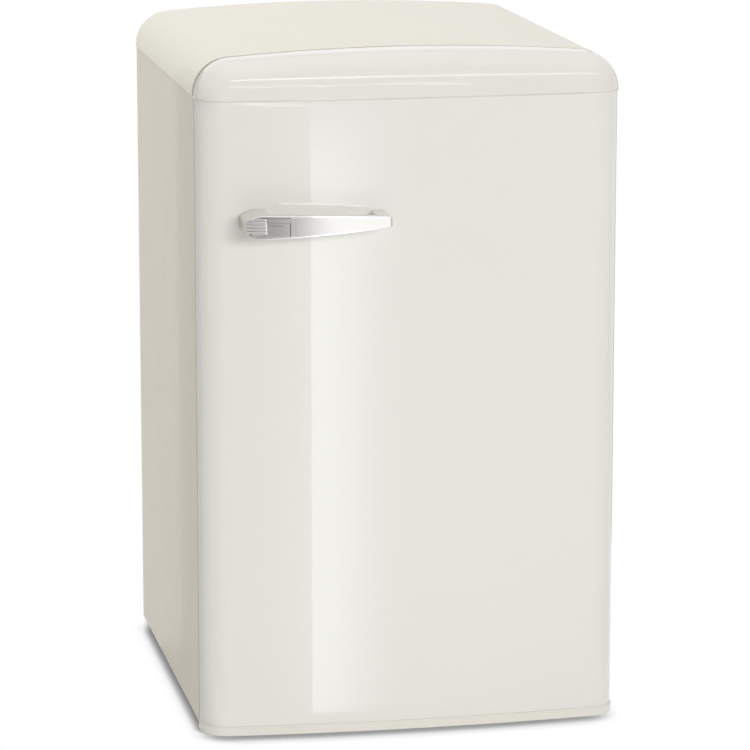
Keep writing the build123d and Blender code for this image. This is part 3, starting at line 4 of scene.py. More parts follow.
import bpy
import numpy as np
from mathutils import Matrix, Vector


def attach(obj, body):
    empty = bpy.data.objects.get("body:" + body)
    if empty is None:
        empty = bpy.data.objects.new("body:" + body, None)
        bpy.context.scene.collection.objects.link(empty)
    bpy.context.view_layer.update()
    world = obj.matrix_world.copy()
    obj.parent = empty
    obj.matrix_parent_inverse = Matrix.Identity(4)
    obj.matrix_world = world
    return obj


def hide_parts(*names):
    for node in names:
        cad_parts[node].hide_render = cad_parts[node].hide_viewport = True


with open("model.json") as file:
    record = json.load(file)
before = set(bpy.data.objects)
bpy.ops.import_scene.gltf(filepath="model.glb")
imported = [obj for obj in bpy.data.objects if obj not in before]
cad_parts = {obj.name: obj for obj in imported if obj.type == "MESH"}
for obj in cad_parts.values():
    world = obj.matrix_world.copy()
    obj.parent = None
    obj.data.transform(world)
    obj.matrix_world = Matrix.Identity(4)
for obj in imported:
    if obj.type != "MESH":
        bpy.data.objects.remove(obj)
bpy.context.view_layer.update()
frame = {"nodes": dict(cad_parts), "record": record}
nodes = frame["nodes"]
scene = bpy.context.scene


# Colours and finishes

def srgb(red, green, blue):
    """Linear colour of an 8 bit sRGB triple: c / 12.92 below 0.04045, else ((c + 0.055) / 1.055) ** 2.4."""
    c = np.array([red, green, blue], float) / 255
    linear = np.where(c <= 0.04045, c / 12.92, ((c + 0.055) / 1.055) ** 2.4)
    return (*linear.tolist(), 1.0)


def toned(colour, share):
    """Colour with its three channels scaled by one share."""
    return tuple(min(1.0, c * share) for c in colour[:3]) + (1.0,)


class Finish:
    """A Principled material on Object coordinates, built up node by node."""

    def __init__(self, name, colour, roughness, **sockets):
        self.material = bpy.data.materials.new(name)
        self.material.use_nodes = True
        self.tree = self.material.node_tree
        self.shader = self.tree.nodes["Principled BSDF"]
        self.shader.inputs["Base Color"].default_value = colour
        self.shader.inputs["Roughness"].default_value = roughness
        for socket, value in sockets.items():
            self.shader.inputs[socket.replace("_", " ")].default_value = value
        self.place = self.add("ShaderNodeTexCoord").outputs["Object"]
        self.height = None

    def add(self, kind, **settings):
        """New node with its settings: attributes by name, or input sockets given as in_NAME."""
        node = self.tree.nodes.new(kind)
        for key, value in settings.items():
            if key.startswith("in_"):
                node.inputs[key[3:].replace("_", " ")].default_value = value
            else:
                setattr(node, key, value)
        return node

    def join(self, out, socket):
        """Link from an output to an input."""
        self.tree.links.new(out, socket)

    def stretched(self, scale):
        """Object coordinates scaled per axis."""
        mapping = self.add("ShaderNodeMapping", in_Scale=scale)
        self.join(self.place, mapping.inputs["Vector"])
        return mapping.outputs["Vector"]

    def noise(self, scale, detail=3.0, roughness=0.5, stretch=None):
        """Fractal noise, its grain about 1 / scale metres."""
        node = self.add("ShaderNodeTexNoise", in_Scale=scale, in_Detail=detail, in_Roughness=roughness)
        self.join(self.stretched(stretch) if stretch else self.place, node.inputs["Vector"])
        return node.outputs["Fac"]

    def cells(self, scale):
        """Voronoi cells, about 1 / scale metres wide: distance and colour."""
        node = self.add("ShaderNodeTexVoronoi", in_Scale=scale)
        self.join(self.place, node.inputs["Vector"])
        return node

    def span(self, value, low, high, start=0.3, end=0.7):
        """Value carried from start..end to low..high."""
        node = self.add("ShaderNodeMapRange")
        self.join(value, node.inputs["Value"])
        for socket, number in zip(("From Min", "From Max", "To Min", "To Max"), (start, end, low, high)):
            node.inputs[socket].default_value = number
        return node.outputs["Result"]

    def tint(self, factor, low, high):
        """Base colour mixed from low to high by a factor."""
        ramp = self.add("ShaderNodeValToRGB")
        ramp.color_ramp.elements[0].position = 0.3
        ramp.color_ramp.elements[1].position = 0.7
        ramp.color_ramp.elements[0].color = low
        ramp.color_ramp.elements[1].color = high
        self.join(factor, ramp.inputs["Fac"])
        self.join(ramp.outputs["Color"], self.shader.inputs["Base Color"])
        return self

    def polish(self, factor, low, high):
        """Roughness between low and high by a factor."""
        self.join(self.span(factor, low, high), self.shader.inputs["Roughness"])
        return self

    def relief(self, height, strength, distance):
        """Bump from a height, added on top of earlier relief."""
        bump = self.add("ShaderNodeBump", in_Strength=strength, in_Distance=distance)
        self.join(height, bump.inputs["Height"])
        if self.height is not None:
            self.join(self.height, bump.inputs["Normal"])
        self.height = bump.outputs["Normal"]
        self.join(self.height, self.shader.inputs["Normal"])
        return self

    def lets_light_by(self, colour):
        """Shadow rays pass with the tint of the sheet, so what stands behind it stays lit."""
        thin = self.add("ShaderNodeBsdfTransparent", in_Color=colour)
        path = self.add("ShaderNodeLightPath")
        mix = self.add("ShaderNodeMixShader")
        self.join(path.outputs["Is Shadow Ray"], mix.inputs["Fac"])
        self.join(self.shader.outputs["BSDF"], mix.inputs[1])
        self.join(thin.outputs["BSDF"], mix.inputs[2])
        self.join(mix.outputs["Shader"], self.tree.nodes["Material Output"].inputs["Surface"])
        return self


def enamel(name, colour):
    """Sprayed gloss enamel: faint cloudiness, slight orange peel and a clear coat."""
    f = Finish(name, colour, 0.3, IOR=1.35, Coat_Weight=1.0, Coat_Roughness=0.008, Coat_IOR=1.5)
    f.tint(f.noise(3.0, 2.0), toned(colour, 0.995), toned(colour, 1.004))
    f.polish(f.noise(45.0), 0.28, 0.36)
    return f.relief(f.noise(90.0, 1.0), 0.002, 0.0002)


def satin_enamel(name, colour):
    """Sprayed satin enamel of the cabinet sides: soft sheen over a fine texture."""
    f = Finish(name, colour, 0.45, IOR=1.38)
    f.tint(f.noise(2.5, 2.0), toned(colour, 0.985), toned(colour, 1.01))
    f.polish(f.noise(50.0), 0.42, 0.52)
    return f.relief(f.noise(350.0, 2.0), 0.03, 0.0002)


def gloss_moulding(name, colour):
    """Gloss moulded plastic with faint flow marks."""
    f = Finish(name, colour, 0.28, IOR=1.35, Coat_Weight=1.0, Coat_Roughness=0.015, Coat_IOR=1.5)
    f.tint(f.noise(5.0, 2.0, stretch=(1.0, 0.4, 1.0)), toned(colour, 0.995), toned(colour, 1.004))
    f.polish(f.noise(60.0), 0.285, 0.305)
    return f.relief(f.noise(300.0, 1.0), 0.0006, 0.0001)


def satin_cover(name, colour):
    """Moulded cover with a soft sheen and a faint even grain."""
    f = Finish(name, colour, 0.45, IOR=1.25)
    f.tint(f.noise(4.0, 2.0), toned(colour, 0.99), toned(colour, 1.007))
    f.polish(f.noise(60.0), 0.4, 0.5)
    return f.relief(f.noise(500.0, 2.0), 0.01, 0.0002)


def satin_moulding(name, colour, low=0.34, high=0.48, grain=900.0, depth=0.08):
    """Moulded plastic with a fine spark eroded grain."""
    f = Finish(name, colour, low, IOR=1.49)
    f.tint(f.noise(14.0), toned(colour, 0.96), toned(colour, 1.03))
    f.polish(f.noise(80.0), low, high)
    return f.relief(f.noise(grain, 2.0), depth, 0.0002)


def plated(name, colour):
    """Bright chromium plate with faint wiping marks."""
    f = Finish(name, colour, 0.06, Metallic=1.0)
    f.tint(f.noise(30.0), toned(colour, 0.97), toned(colour, 1.02))
    f.polish(f.noise(90.0, 4.0, 0.6, stretch=(0.25, 1.0, 1.0)), 0.035, 0.10)
    return f.relief(f.noise(500.0, 1.0), 0.01, 0.0001)


def galvanised(name, colour):
    """Zinc coated sheet: crystal spangle in tone and roughness, with fine rolling lines."""
    f = Finish(name, colour, 0.4, Metallic=0.9)
    spangle = f.cells(85.0).outputs["Color"]
    split = f.add("ShaderNodeSeparateColor")
    f.join(spangle, split.inputs["Color"])
    f.tint(split.outputs["Red"], toned(colour, 0.92), toned(colour, 1.04))
    f.polish(split.outputs["Green"], 0.32, 0.5)
    return f.relief(f.noise(700.0, 2.0, stretch=(0.05, 1.0, 1.0)), 0.06, 0.0002)


def satin_black(name, colour):
    """Satin black paint over steel, with dust in random patches."""
    f = Finish(name, colour, 0.4, IOR=1.5)
    f.tint(f.noise(22.0, 5.0, 0.6), colour, toned(colour, 1.9))
    f.polish(f.noise(60.0, 4.0), 0.3, 0.5)
    return f.relief(f.noise(420.0, 2.0), 0.12, 0.0003)


def rubbery(name, colour):
    """Matt rubber or soft vinyl with a fine skin."""
    f = Finish(name, colour, 0.62, IOR=1.5)
    f.tint(f.noise(26.0, 4.0), toned(colour, 0.92), toned(colour, 1.06))
    f.polish(f.noise(120.0), 0.55, 0.72)
    return f.relief(f.noise(800.0, 2.0), 0.15, 0.0002)


def clear_sheet(name, colour, roughness, ior):
    """Clear glass or styrene with a faint haze."""
    f = Finish(name, colour, roughness, IOR=ior, Transmission_Weight=1.0)
    f.tint(f.noise(6.0), toned(colour, 0.985), toned(colour, 1.0))
    f.polish(f.noise(70.0), roughness, roughness + 0.05)
    return f.lets_light_by(colour)


def drawn_metal(name, colour, low, high, stretch, strength):
    """Drawn or rolled metal with fine lines along one axis."""
    f = Finish(name, colour, low, Metallic=1.0)
    f.tint(f.noise(18.0, 5.0, 0.6), toned(colour, 0.88), toned(colour, 1.05))
    f.polish(f.noise(160.0, 3.0, stretch=stretch), low, high)
    return f.relief(f.noise(900.0, 2.0, stretch=stretch), strength, 0.0002)


def blown_foam(name, colour):
    """Rigid foam: closed cells in tone and relief."""
    f = Finish(name, colour, 0.9, IOR=1.4)
    cells = f.cells(420.0)
    f.tint(cells.outputs["Distance"], toned(colour, 1.05), toned(colour, 0.85))
    f.polish(f.noise(200.0), 0.82, 0.95)
    return f.relief(cells.outputs["Distance"], 0.4, 0.0006)


cream = srgb(233, 231, 223)
# The cabinet sides get a darker, browner cream than the door: partly their own satin paint, partly painted
# shade for sides that face away from the lamps.
shaded_side_cream = srgb(226, 219, 204)
finishes = {
    "cream_paint": enamel("cream_enamel", cream),
    "side_paint": satin_enamel("side_enamel_shaded", shaded_side_cream),
    "cream_plastic": gloss_moulding("cream_moulding", srgb(231, 228, 218)),
    "chrome": plated("chromium_plate", srgb(228, 226, 223)),
    # Grey vinyl of the seal, kept darker partly to paint the shade in the gap between door and cabinet.
    "gasket": rubbery("seal_vinyl_with_gap_shade", srgb(190, 185, 174)),
    "liner": satin_moulding("liner_white", srgb(236, 238, 238), 0.26, 0.38, 600.0, 0.04),
    "foam": blown_foam("insulation_foam", srgb(232, 214, 158)),
    "shelf_glass": clear_sheet("shelf_pane_glass", srgb(243, 251, 247), 0.0, 1.52),
    "trim": satin_moulding("trim_white", srgb(236, 236, 233)),
    "clear_plastic": clear_sheet("clear_styrene", srgb(250, 252, 253), 0.02, 1.3),
    "white_plastic": satin_moulding("white_moulding", srgb(236, 236, 233)),
    "zinc": galvanised("zinc_sheet", srgb(196, 199, 202)),
    "black_paint": satin_black("black_enamel", srgb(30, 30, 31)),
    "black_plastic": satin_moulding("black_moulding", srgb(34, 34, 35), 0.42, 0.58),
    "grey_plastic": satin_moulding("grey_moulding", srgb(150, 152, 154)),
    "black_rubber": rubbery("black_rubber", srgb(30, 30, 30)),
    "copper": drawn_metal("copper_tube", srgb(205, 128, 92), 0.22, 0.42, (1.0, 1.0, 0.1), 0.05),
    "aluminium": drawn_metal("rolled_aluminium", srgb(205, 207, 209), 0.3, 0.45, (0.04, 1.0, 1.0), 0.08),
    "magnet": rubbery("magnet_strip", srgb(70, 62, 56)),
    "lamp_glass": clear_sheet("bulb_glass", srgb(250, 246, 232), 0.12, 1.45),
}

for part in frame["record"]["subparts"]:
    mesh = nodes[part["node"]].data
    mesh.materials.clear()
    mesh.materials.append(finishes[part["material_slot"]].material)

# The top cover is a lighter cream than the door's moulding: partly its own satin moulding, partly painted
# light for the light falling on the top.
top_finish_lightened = satin_cover("cover_moulding_lightened", srgb(242, 238, 226))
nodes["top_cover"].data.materials[0] = top_finish_lightened.material


# Pieces, worked out in mm

MM = 0.001
half_width = 275.0
total_height = 895.0
door_front = -284.5
door_rear = -221.5
bow_rise = 14.0
corner_radius = 36.0
sheet_foot = 19.6
cap_foot = 836.4
crown_rise = 13.0
crown_corner = 48.0
handle_left = -225.0
handle_right = -38.0
handle_face = -330.5


def loops(rows, columns, loop_rows, loop_columns):
    """Four sided faces between neighbours on a grid of rows and columns."""
    i = np.arange(rows if loop_rows else rows - 1)[:, None]
    j = np.arange(columns if loop_columns else columns - 1)[None, :]
    k, m = (i + 1) % rows, (j + 1) % columns
    corners = np.broadcast_arrays(i * columns + j, k * columns + j, k * columns + m, i * columns + m)
    return np.stack(corners, -1).reshape(-1, 4)


def surface(grids, loop_rows=False, loop_columns=False, ends=False):
    """Vertices and faces of one or more grids of points, with flat ends where asked."""
    vertices, faces, start = [], [], 0
    for grid in grids:
        rows, columns = grid.shape[:2]
        vertices.append(grid.reshape(-1, 3))
        faces += (loops(rows, columns, loop_rows, loop_columns) + start).tolist()
        if ends:
            faces.append((np.arange(columns)[::-1] + start).tolist())
            faces.append((np.arange(columns) + start + (rows - 1) * columns).tolist())
        start += rows * columns
    return np.concatenate(vertices), faces


def piece(name, built, finish, body, replaced=(), crease=38.0):
    """Object of the fridge: points in mm, its finish and the body that it rides, with the parts it replaces
    hidden.
    """
    vertices, faces = built
    mesh = bpy.data.meshes.new(name)
    mesh.from_pydata((vertices * MM).tolist(), [], faces)
    mesh.polygons.foreach_set("use_smooth", np.ones(len(mesh.polygons), bool))
    mesh.set_sharp_from_angle(angle=math.radians(crease))
    mesh.materials.append(finish.material)
    thing = bpy.data.objects.new(name, mesh)
    scene.collection.objects.link(thing)
    outward(thing)
    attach(thing, body)
    if replaced:
        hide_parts(*replaced)
    return thing


def outward(thing):
    """Turns all faces if the volume that they enclose comes out negative."""
    mesh = thing.data
    mesh.calc_loop_triangles()
    corners = np.empty(len(mesh.vertices) * 3)
    mesh.vertices.foreach_get("co", corners)
    corners = corners.reshape(-1, 3)
    index = np.empty(len(mesh.loop_triangles) * 3, int)
    mesh.loop_triangles.foreach_get("vertices", index)
    a, b, c = corners[index.reshape(-1, 3)].transpose(1, 0, 2)
    if np.einsum("ij,ij->i", a, np.cross(b, c)).sum() < 0:
        mesh.flip_normals()


def arc_radius(half_chord, rise):
    """Radius of the arc over a chord: (half chord^2 + rise^2) / (2 * rise)."""
    return (half_chord ** 2 + rise ** 2) / (2 * rise)


def circle(count):
    """Unit circle as cosine and sine."""
    turn = np.arange(count) * 2 * math.pi / count
    return np.cos(turn), np.sin(turn)


def smooth(value, low, high):
    """Smoothstep from 0 at low to 1 at high."""
    t = np.clip((value - low) / (high - low), 0, 1)
    return t * t * (3 - 2 * t)


def door_plan(grow):
    """Plan of the door, grown outward: side lines, rounded front corners and the bow, as arcs that touch."""
    reach, front, corner = half_width + grow, door_front - grow, corner_radius + grow
    bow = arc_radius(reach, bow_rise)
    middle = front + bow
    x = corner - reach
    y = middle - math.sqrt((bow - corner) ** 2 - x * x)
    meet = math.atan2(y - middle, x)
    turn = np.linspace(-math.pi, meet, 28)
    sweep = np.linspace(meet, -math.pi / 2, 42)[1:]
    side = np.stack([np.full(6, -reach), np.linspace(door_rear, y, 7)[:-1]], -1)
    round_corner = np.stack([x + corner * np.cos(turn), y + corner * np.sin(turn)], -1)
    half_bow = np.stack([bow * np.cos(sweep), middle + bow * np.sin(sweep)], -1)
    left = np.concatenate([side, round_corner, half_bow])
    return np.concatenate([left, (left * (-1, 1))[-2::-1]])


def carried(profile):
    """A profile of (grow, z) points carried along the plan of the door: plan(grow) at height z."""
    plans = np.stack([door_plan(grow) for grow, _ in profile], 1)
    heights = np.broadcast_to([float(z) for _, z in profile], plans.shape[:2])
    return np.dstack([plans, heights])


def round_frame(inset, reach, low, high, corner, side_count=10, corner_count=9):
    """Rounded frame drawn in by an inset: straight sides and quarter turns of radius corner - inset."""
    radius = max(corner - inset, 0.6)
    x, z0, z1 = reach - inset - radius, low + inset + radius, high - inset - radius
    turn = np.linspace(0, math.pi / 2, corner_count)
    points = []
    for cx, cz, start in ((x, z1, 0.0), (-x, z1, 0.5), (-x, z0, 1.0), (x, z0, 1.5)):
        a = turn + start * math.pi
        points.append(np.stack([cx + radius * np.cos(a), cz + radius * np.sin(a)], -1))
    rows = []
    for here, after in zip(points, points[1:] + points[:1]):
        share = np.linspace(0, 1, side_count)[1:-1, None]
        rows += [here, here[-1] + share * (after[0] - here[-1])]
    return np.concatenate(rows)


def door_sheet():
    """Steel front of the door: a thin wall with rolled edges, carried along its plan, and both rear folds.

    Its face lies 1.5 inside the plan of the door and its back 2.1."""
    face, back, middle = -1.5, -2.1, (sheet_foot + cap_foot) / 2
    roll = [(-1.85, 0.0), (-1.6, 0.15), (face, 0.5)]
    outer = [(grow, sheet_foot + rise) for grow, rise in roll]
    outer += [(face, z) for z in np.linspace(30, 826, 14)]
    outer += [(grow, cap_foot - rise) for grow, rise in roll[::-1]]
    inner = [(back, z) for z in (cap_foot, middle, sheet_foot)]
    section = np.array([
        (273.0, -222.4), (273.0, -221.6), (272.8, door_rear),
        (260.7, door_rear), (260.5, -221.7), (260.5, -222.4),
    ])
    folds = []
    for side in (-1, 1):
        ring = section * (side, 1)
        rings = [np.column_stack([ring, np.full(6, z)]) for z in (sheet_foot, middle, cap_foot)]
        folds.append(np.stack(rings))
    return surface([carried(outer + inner), *folds], loop_columns=True, ends=True)


def band(low, high, face, root):
    """Flat band round the door between two heights, from a root depth to its face."""
    profile = [(root, low), (face, low), (face, high), (root, high)]
    return surface([carried(profile)], loop_columns=True, ends=True)


def bead(z, middle, radius):
    """Round bead carried along the plan of the door."""
    c, s = circle(10)
    profile = np.stack([middle + radius * c, z + radius * s], -1)
    return surface([carried(profile)], loop_columns=True, ends=True)


def bellows_seal():
    """Door seal: base lip, folded bellows and a soft head, carried round a rounded frame.

    The profile gives the inset from the outer edge and the depth at each point."""
    profile = [
        (0.0, -221.4), (22.0, -221.4), (22.2, -220.6), (21.6, -219.9), (9.0, -219.5), (7.4, -219.0),
        (5.2, -218.4), (4.9, -217.8), (7.0, -216.9), (7.0, -216.4), (5.0, -215.5), (5.2, -214.9),
        (7.4, -214.5), (15.2, -214.3), (16.0, -213.6), (16.0, -211.0), (15.3, -210.2), (13.6, -209.8),
        (8.0, -209.75), (2.4, -209.8), (0.7, -210.2), (0.0, -211.0), (0.0, -213.6), (0.7, -214.3),
        (2.3, -214.9), (2.5, -215.5), (0.6, -216.4), (0.6, -216.9), (2.6, -217.8), (2.4, -218.4),
        (0.5, -219.2), (0.0, -220.0),
    ]
    reach, low, high, corner = 259, 28, 821, 14
    rings = []
    for inset, y in profile:
        line = round_frame(inset, reach, low, high, corner)
        rings.append(np.column_stack([line[:, 0], np.full(len(line), y), line[:, 1]]))
    return surface([np.stack(rings, 1)], loop_rows=True, loop_columns=True)


def upright_wires():
    """Round wires on both faces of the condenser: circles carried upward, with rounded tips."""
    count, pitch, plane, off = 34, 12, 318, 3.15
    c, s = circle(8)
    rings = ((0.35, 307.0), (0.7, 307.5), (0.7, 786.5), (0.35, 787.0))
    wires = []
    for x in (np.arange(count) - (count - 1) / 2) * pitch:
        for y in (plane - off, plane + off):
            wires.append(np.stack([np.stack([x + r * c, y + r * s, np.full(8, z)], -1) for r, z in rings]))
    return surface(wires, loop_columns=True, ends=True)


def cross_screw(centre, axis, side, radius, height):
    """Pan head with a cross recess: height * (1 - r^4)^0.5 over the radius, less the sunk cross."""
    r = np.array([1.0, 1.0, 0.96, 0.86, 0.74, 0.62, 0.56, 0.44, 0.3, 0.16, 0.02])[:, None]
    turn = np.linspace(0, 2 * math.pi, 49)[None, :-1]
    dome = np.sqrt(np.clip(1 - (r * 0.97) ** 4, 0, 1)) * height
    dome[0] = 0
    across = np.minimum(abs(np.cos(turn)), abs(np.sin(turn))) * r
    sunk = (across < 0.13) & (r < 0.6)
    lift = np.where(sunk, dome - 0.55 * height * (1.15 - r), dome)
    axis, side = np.array(axis, float), np.array(side, float)
    up = np.cross(axis, side)
    flat = radius * (r * np.cos(turn))[..., None] * side + radius * (r * np.sin(turn))[..., None] * up
    return np.array(centre) + flat + lift[..., None] * axis


def weld(vertices, faces):
    """Joins points that coincide: points, four sided faces and those that collapse to three sides."""
    _, first, index = np.unique(np.round(vertices, 4), axis=0, return_index=True, return_inverse=True)
    rings = index.ravel()[np.array(faces)]
    twice = rings == np.roll(rings, 1, 1)
    count = twice.sum(1)
    triangles = rings[count == 1][~twice[count == 1]].reshape(-1, 3)
    return vertices[first], rings[count == 0], triangles


def crown_path():
    """Front outline of the domed top from lower left to lower right, with outward directions.

    Quarter turns at the corners run into a shallow arc. They are drawn down to the foot of the cap."""
    crown = arc_radius(half_width, crown_rise)
    middle = total_height - crown
    x = crown_corner - half_width
    z = middle + math.sqrt((crown - crown_corner) ** 2 - x ** 2)
    meet = math.atan2(z - middle, x)
    turn = np.linspace(math.pi, meet, 26)
    sweep = np.linspace(meet, math.pi / 2, 46)[1:]
    corner = np.stack([x + crown_corner * np.cos(turn), z + crown_corner * np.sin(turn)], -1)
    top = corner[-1, 1]
    corner[:, 1] = top - (top - corner[:, 1]) * (top - cap_foot) / (top - z)
    arc = np.stack([crown * np.cos(sweep), middle + crown * np.sin(sweep)], -1)
    place = np.concatenate([corner, arc])
    way = np.concatenate([turn, sweep])
    way = np.stack([np.cos(way), np.sin(way)], -1)
    mirror = np.array([-1, 1])
    return np.concatenate([place, (place * mirror)[-2::-1]]), np.concatenate([way, (way * mirror)[-2::-1]])


def edge_roll():
    """Ball that rolls the edge of the cap: its centres, and its contacts with crown and bowed front."""
    place, way = crown_path()
    bow = arc_radius(half_width, bow_rise)
    axis = bow + door_front
    ball = place - corner_radius * way
    depth = axis - np.sqrt((bow - corner_radius) ** 2 - ball[:, 0] ** 2)
    level = np.zeros(len(way))
    spine = np.stack([ball[:, 0], depth, ball[:, 1]], -1)
    side = np.stack([way[:, 0], level, way[:, 1]], -1)
    front = np.stack([ball[:, 0], depth - axis, level], -1) / (bow - corner_radius)
    return spine, side, front


def rolled(side, front, share):
    """Directions on the ball from its contact with the crown, share 0, to that with the front, share 1."""
    turn = np.arccos((side * front).sum(-1, keepdims=True))
    return (np.sin((1 - share) * turn) * side + np.sin(share * turn) * front) / np.sin(turn)


def domed_cap():
    """Cap of the door: sides, an edge rolled by a ball between crown and bow, and the bowed front.

    The ball touches both surfaces, so the edge is an arc from one contact direction to the other. Faces in
    the notch of the hinge arm are left out."""
    notch_side, notch_front, notch_top = 219, -247, 841
    outline = crown_path()[0][:, 1]
    spine, side, front = (rows[:, None, :] for rows in edge_roll())
    edge = spine + corner_radius * rolled(side, front, np.linspace(0, 1, 42)[None, :, None])
    back = edge[:, :1].repeat(4, 1)
    back[..., 1] = door_rear + np.array([0, 0.25, 0.5, 0.75]) * (back[..., 1] - door_rear)
    fall = edge[:, -1:].repeat(8, 1)
    fall[..., 2] -= np.linspace(0, 1, 9)[1:] * (fall[..., 2] - cap_foot)
    rear = back[:, :1].repeat(4, 1)
    rear[:, 0, 2] = cap_foot
    rear[:, 1, 2] = np.minimum(notch_top, outline)
    rise = np.linspace(0, 1, 4)[1:3] ** 1.5
    rear[:, 2:, 2] = np.maximum(cap_foot + rise * (outline[:, None] - cap_foot), rear[:, 1:2, 2])
    grid = np.concatenate([rear, back, edge, fall], 1)
    vertices, quads, triangles = weld(*surface([grid]))
    faces = []
    for rings in (quads, triangles):
        x, y, z = vertices[rings].mean(1).T
        notch = (x > notch_side) & (y > notch_front) & (z < notch_top)
        faces += rings[~notch].tolist()
    return vertices, faces


def handle_path():
    """Plan of the handle as outer line, inner line and inward direction: post, bend, bar, bend, post.

    The bends are quarter circles, and the feet follow the bow of the door."""
    left_bend, right_bend, inner_bend = 11.0, 4.0, 6.0
    inner_left, inner_right, inner_face = -192.0, -56.0, -318.5
    bar_left, bar_right = handle_left + left_bend, handle_right - right_bend
    bow, seat = arc_radius(half_width - 1.5, bow_rise), -284.2

    def foot(x):
        """Depth of a post's end at x, which follows the bow of the door."""
        return bow + seat - math.sqrt(bow ** 2 - x * x)

    def around(angle):
        """Unit vectors at these angles."""
        return np.hstack([np.cos(angle), np.sin(angle)])

    def along(share, start, end):
        """Points at these shares of the way from start to end."""
        return np.array(start) + share * (np.array(end) - np.array(start))

    left = np.concatenate([np.linspace(0, 0.86, 9), np.linspace(0.88, 1, 13)])[:, None]
    right = np.linspace(0, 1, 12)[:, None]
    turn = np.linspace(math.pi, 1.5 * math.pi, 22)[1:-1, None]
    swing = np.linspace(1.5 * math.pi, 2 * math.pi, 16)[1:-1, None]
    bar = np.concatenate([
        np.arange(bar_left, -197.5, 0.4), np.arange(-197, -170, 1.5), np.arange(-169.6, -167.8, 0.2),
        np.arange(-167, -163.2, 0.8), np.arange(-163, -161.2, 0.2), np.linspace(-160, bar_right, 42),
    ])[:, None]
    share = (bar - bar_left) / (bar_right - bar_left)
    inner_bar = along(share, inner_left + inner_bend, inner_right - inner_bend)
    outer = [
        along(left, (handle_left, foot(handle_left)), (handle_left, handle_face + left_bend)),
        np.array([bar_left, handle_face + left_bend]) + left_bend * around(turn),
        np.hstack([bar, np.full_like(bar, handle_face)]),
        np.array([bar_right, handle_face + right_bend]) + right_bend * around(swing),
        along(right, (handle_right, handle_face + right_bend), (handle_right, foot(handle_right))),
    ]
    inner = [
        along(left, (inner_left, foot(inner_left)), (inner_left, inner_face + inner_bend)),
        np.array([inner_left + inner_bend, inner_face + inner_bend]) + inner_bend * around(turn),
        np.hstack([inner_bar, np.full_like(bar, inner_face)]),
        np.array([inner_right - inner_bend, inner_face + inner_bend]) + inner_bend * around(swing),
        along(right, (inner_right, inner_face + inner_bend), (inner_right, foot(inner_right))),
    ]
    ways = [left * 0 + [[1, 0]], -around(turn), bar * 0 + [[0, 1]], -around(swing), right * 0 + [[-1, 0]]]
    return np.concatenate(outer), np.concatenate(inner), np.concatenate(ways)


def handle_heights(x):
    """Upper and lower edge of the handle at x: a falling line, a belly and ends that round over."""
    left_round, right_round = 20, 7
    left = np.clip((handle_left + left_round - x) / left_round, 0, 1)
    right = np.clip((x - handle_right + right_round) / right_round, 0, 1)
    share = (x - handle_left) / (handle_right - handle_left)
    high = 700.2 - 6.1 * share - 8.2 * left ** 1.7 - 1.8 * right ** 2
    low = 668.95 + 10.7 * share - 12 * share * (1 - share) + 6.3 * left ** 2.2 + 2.2 * right ** 2
    return high, low


def handle_relief(x, y, z, high, low):
    """Depth of the sunk end: five half round ribs round the bend, then a framed panel with a sloping top."""
    rib_middle, rib_pitch, rib_stop, rib_rise = 685.9, 4.2, -201, 1.9
    floor_depth, frame_depth, panel_left = 2.2, 0.35, -197.7
    top, foot = high - z, z - low
    inside = smooth(top, 2.5, 3.0) * smooth(foot, 2.5, 3.0)
    nearest = (z - rib_middle) / rib_pitch
    off = nearest - np.clip(np.round(nearest), -2, 2)
    rib = np.sqrt(np.clip(1 - (2 * off) ** 2, 0, 1))
    rib_end = np.sqrt(np.clip(1 - np.clip((x - rib_stop) / 2.3, 0, 1) ** 2, 0, 1))
    slope = 0.6 + 0.9 * np.clip((top - 3) / 6.6, 0, 1) + 0.7 * smooth(top, 9.6, 10.0)
    panel = np.where(x > panel_left, slope, floor_depth)
    border = smooth(x, -169.0, -168.6)
    depth = (panel - rib_rise * rib * rib_end) * (1 - border) + frame_depth * border
    return depth * inside * (1 - smooth(x, -162.6, -162.2)) * (1 - smooth(y, -319.0, -315.5))


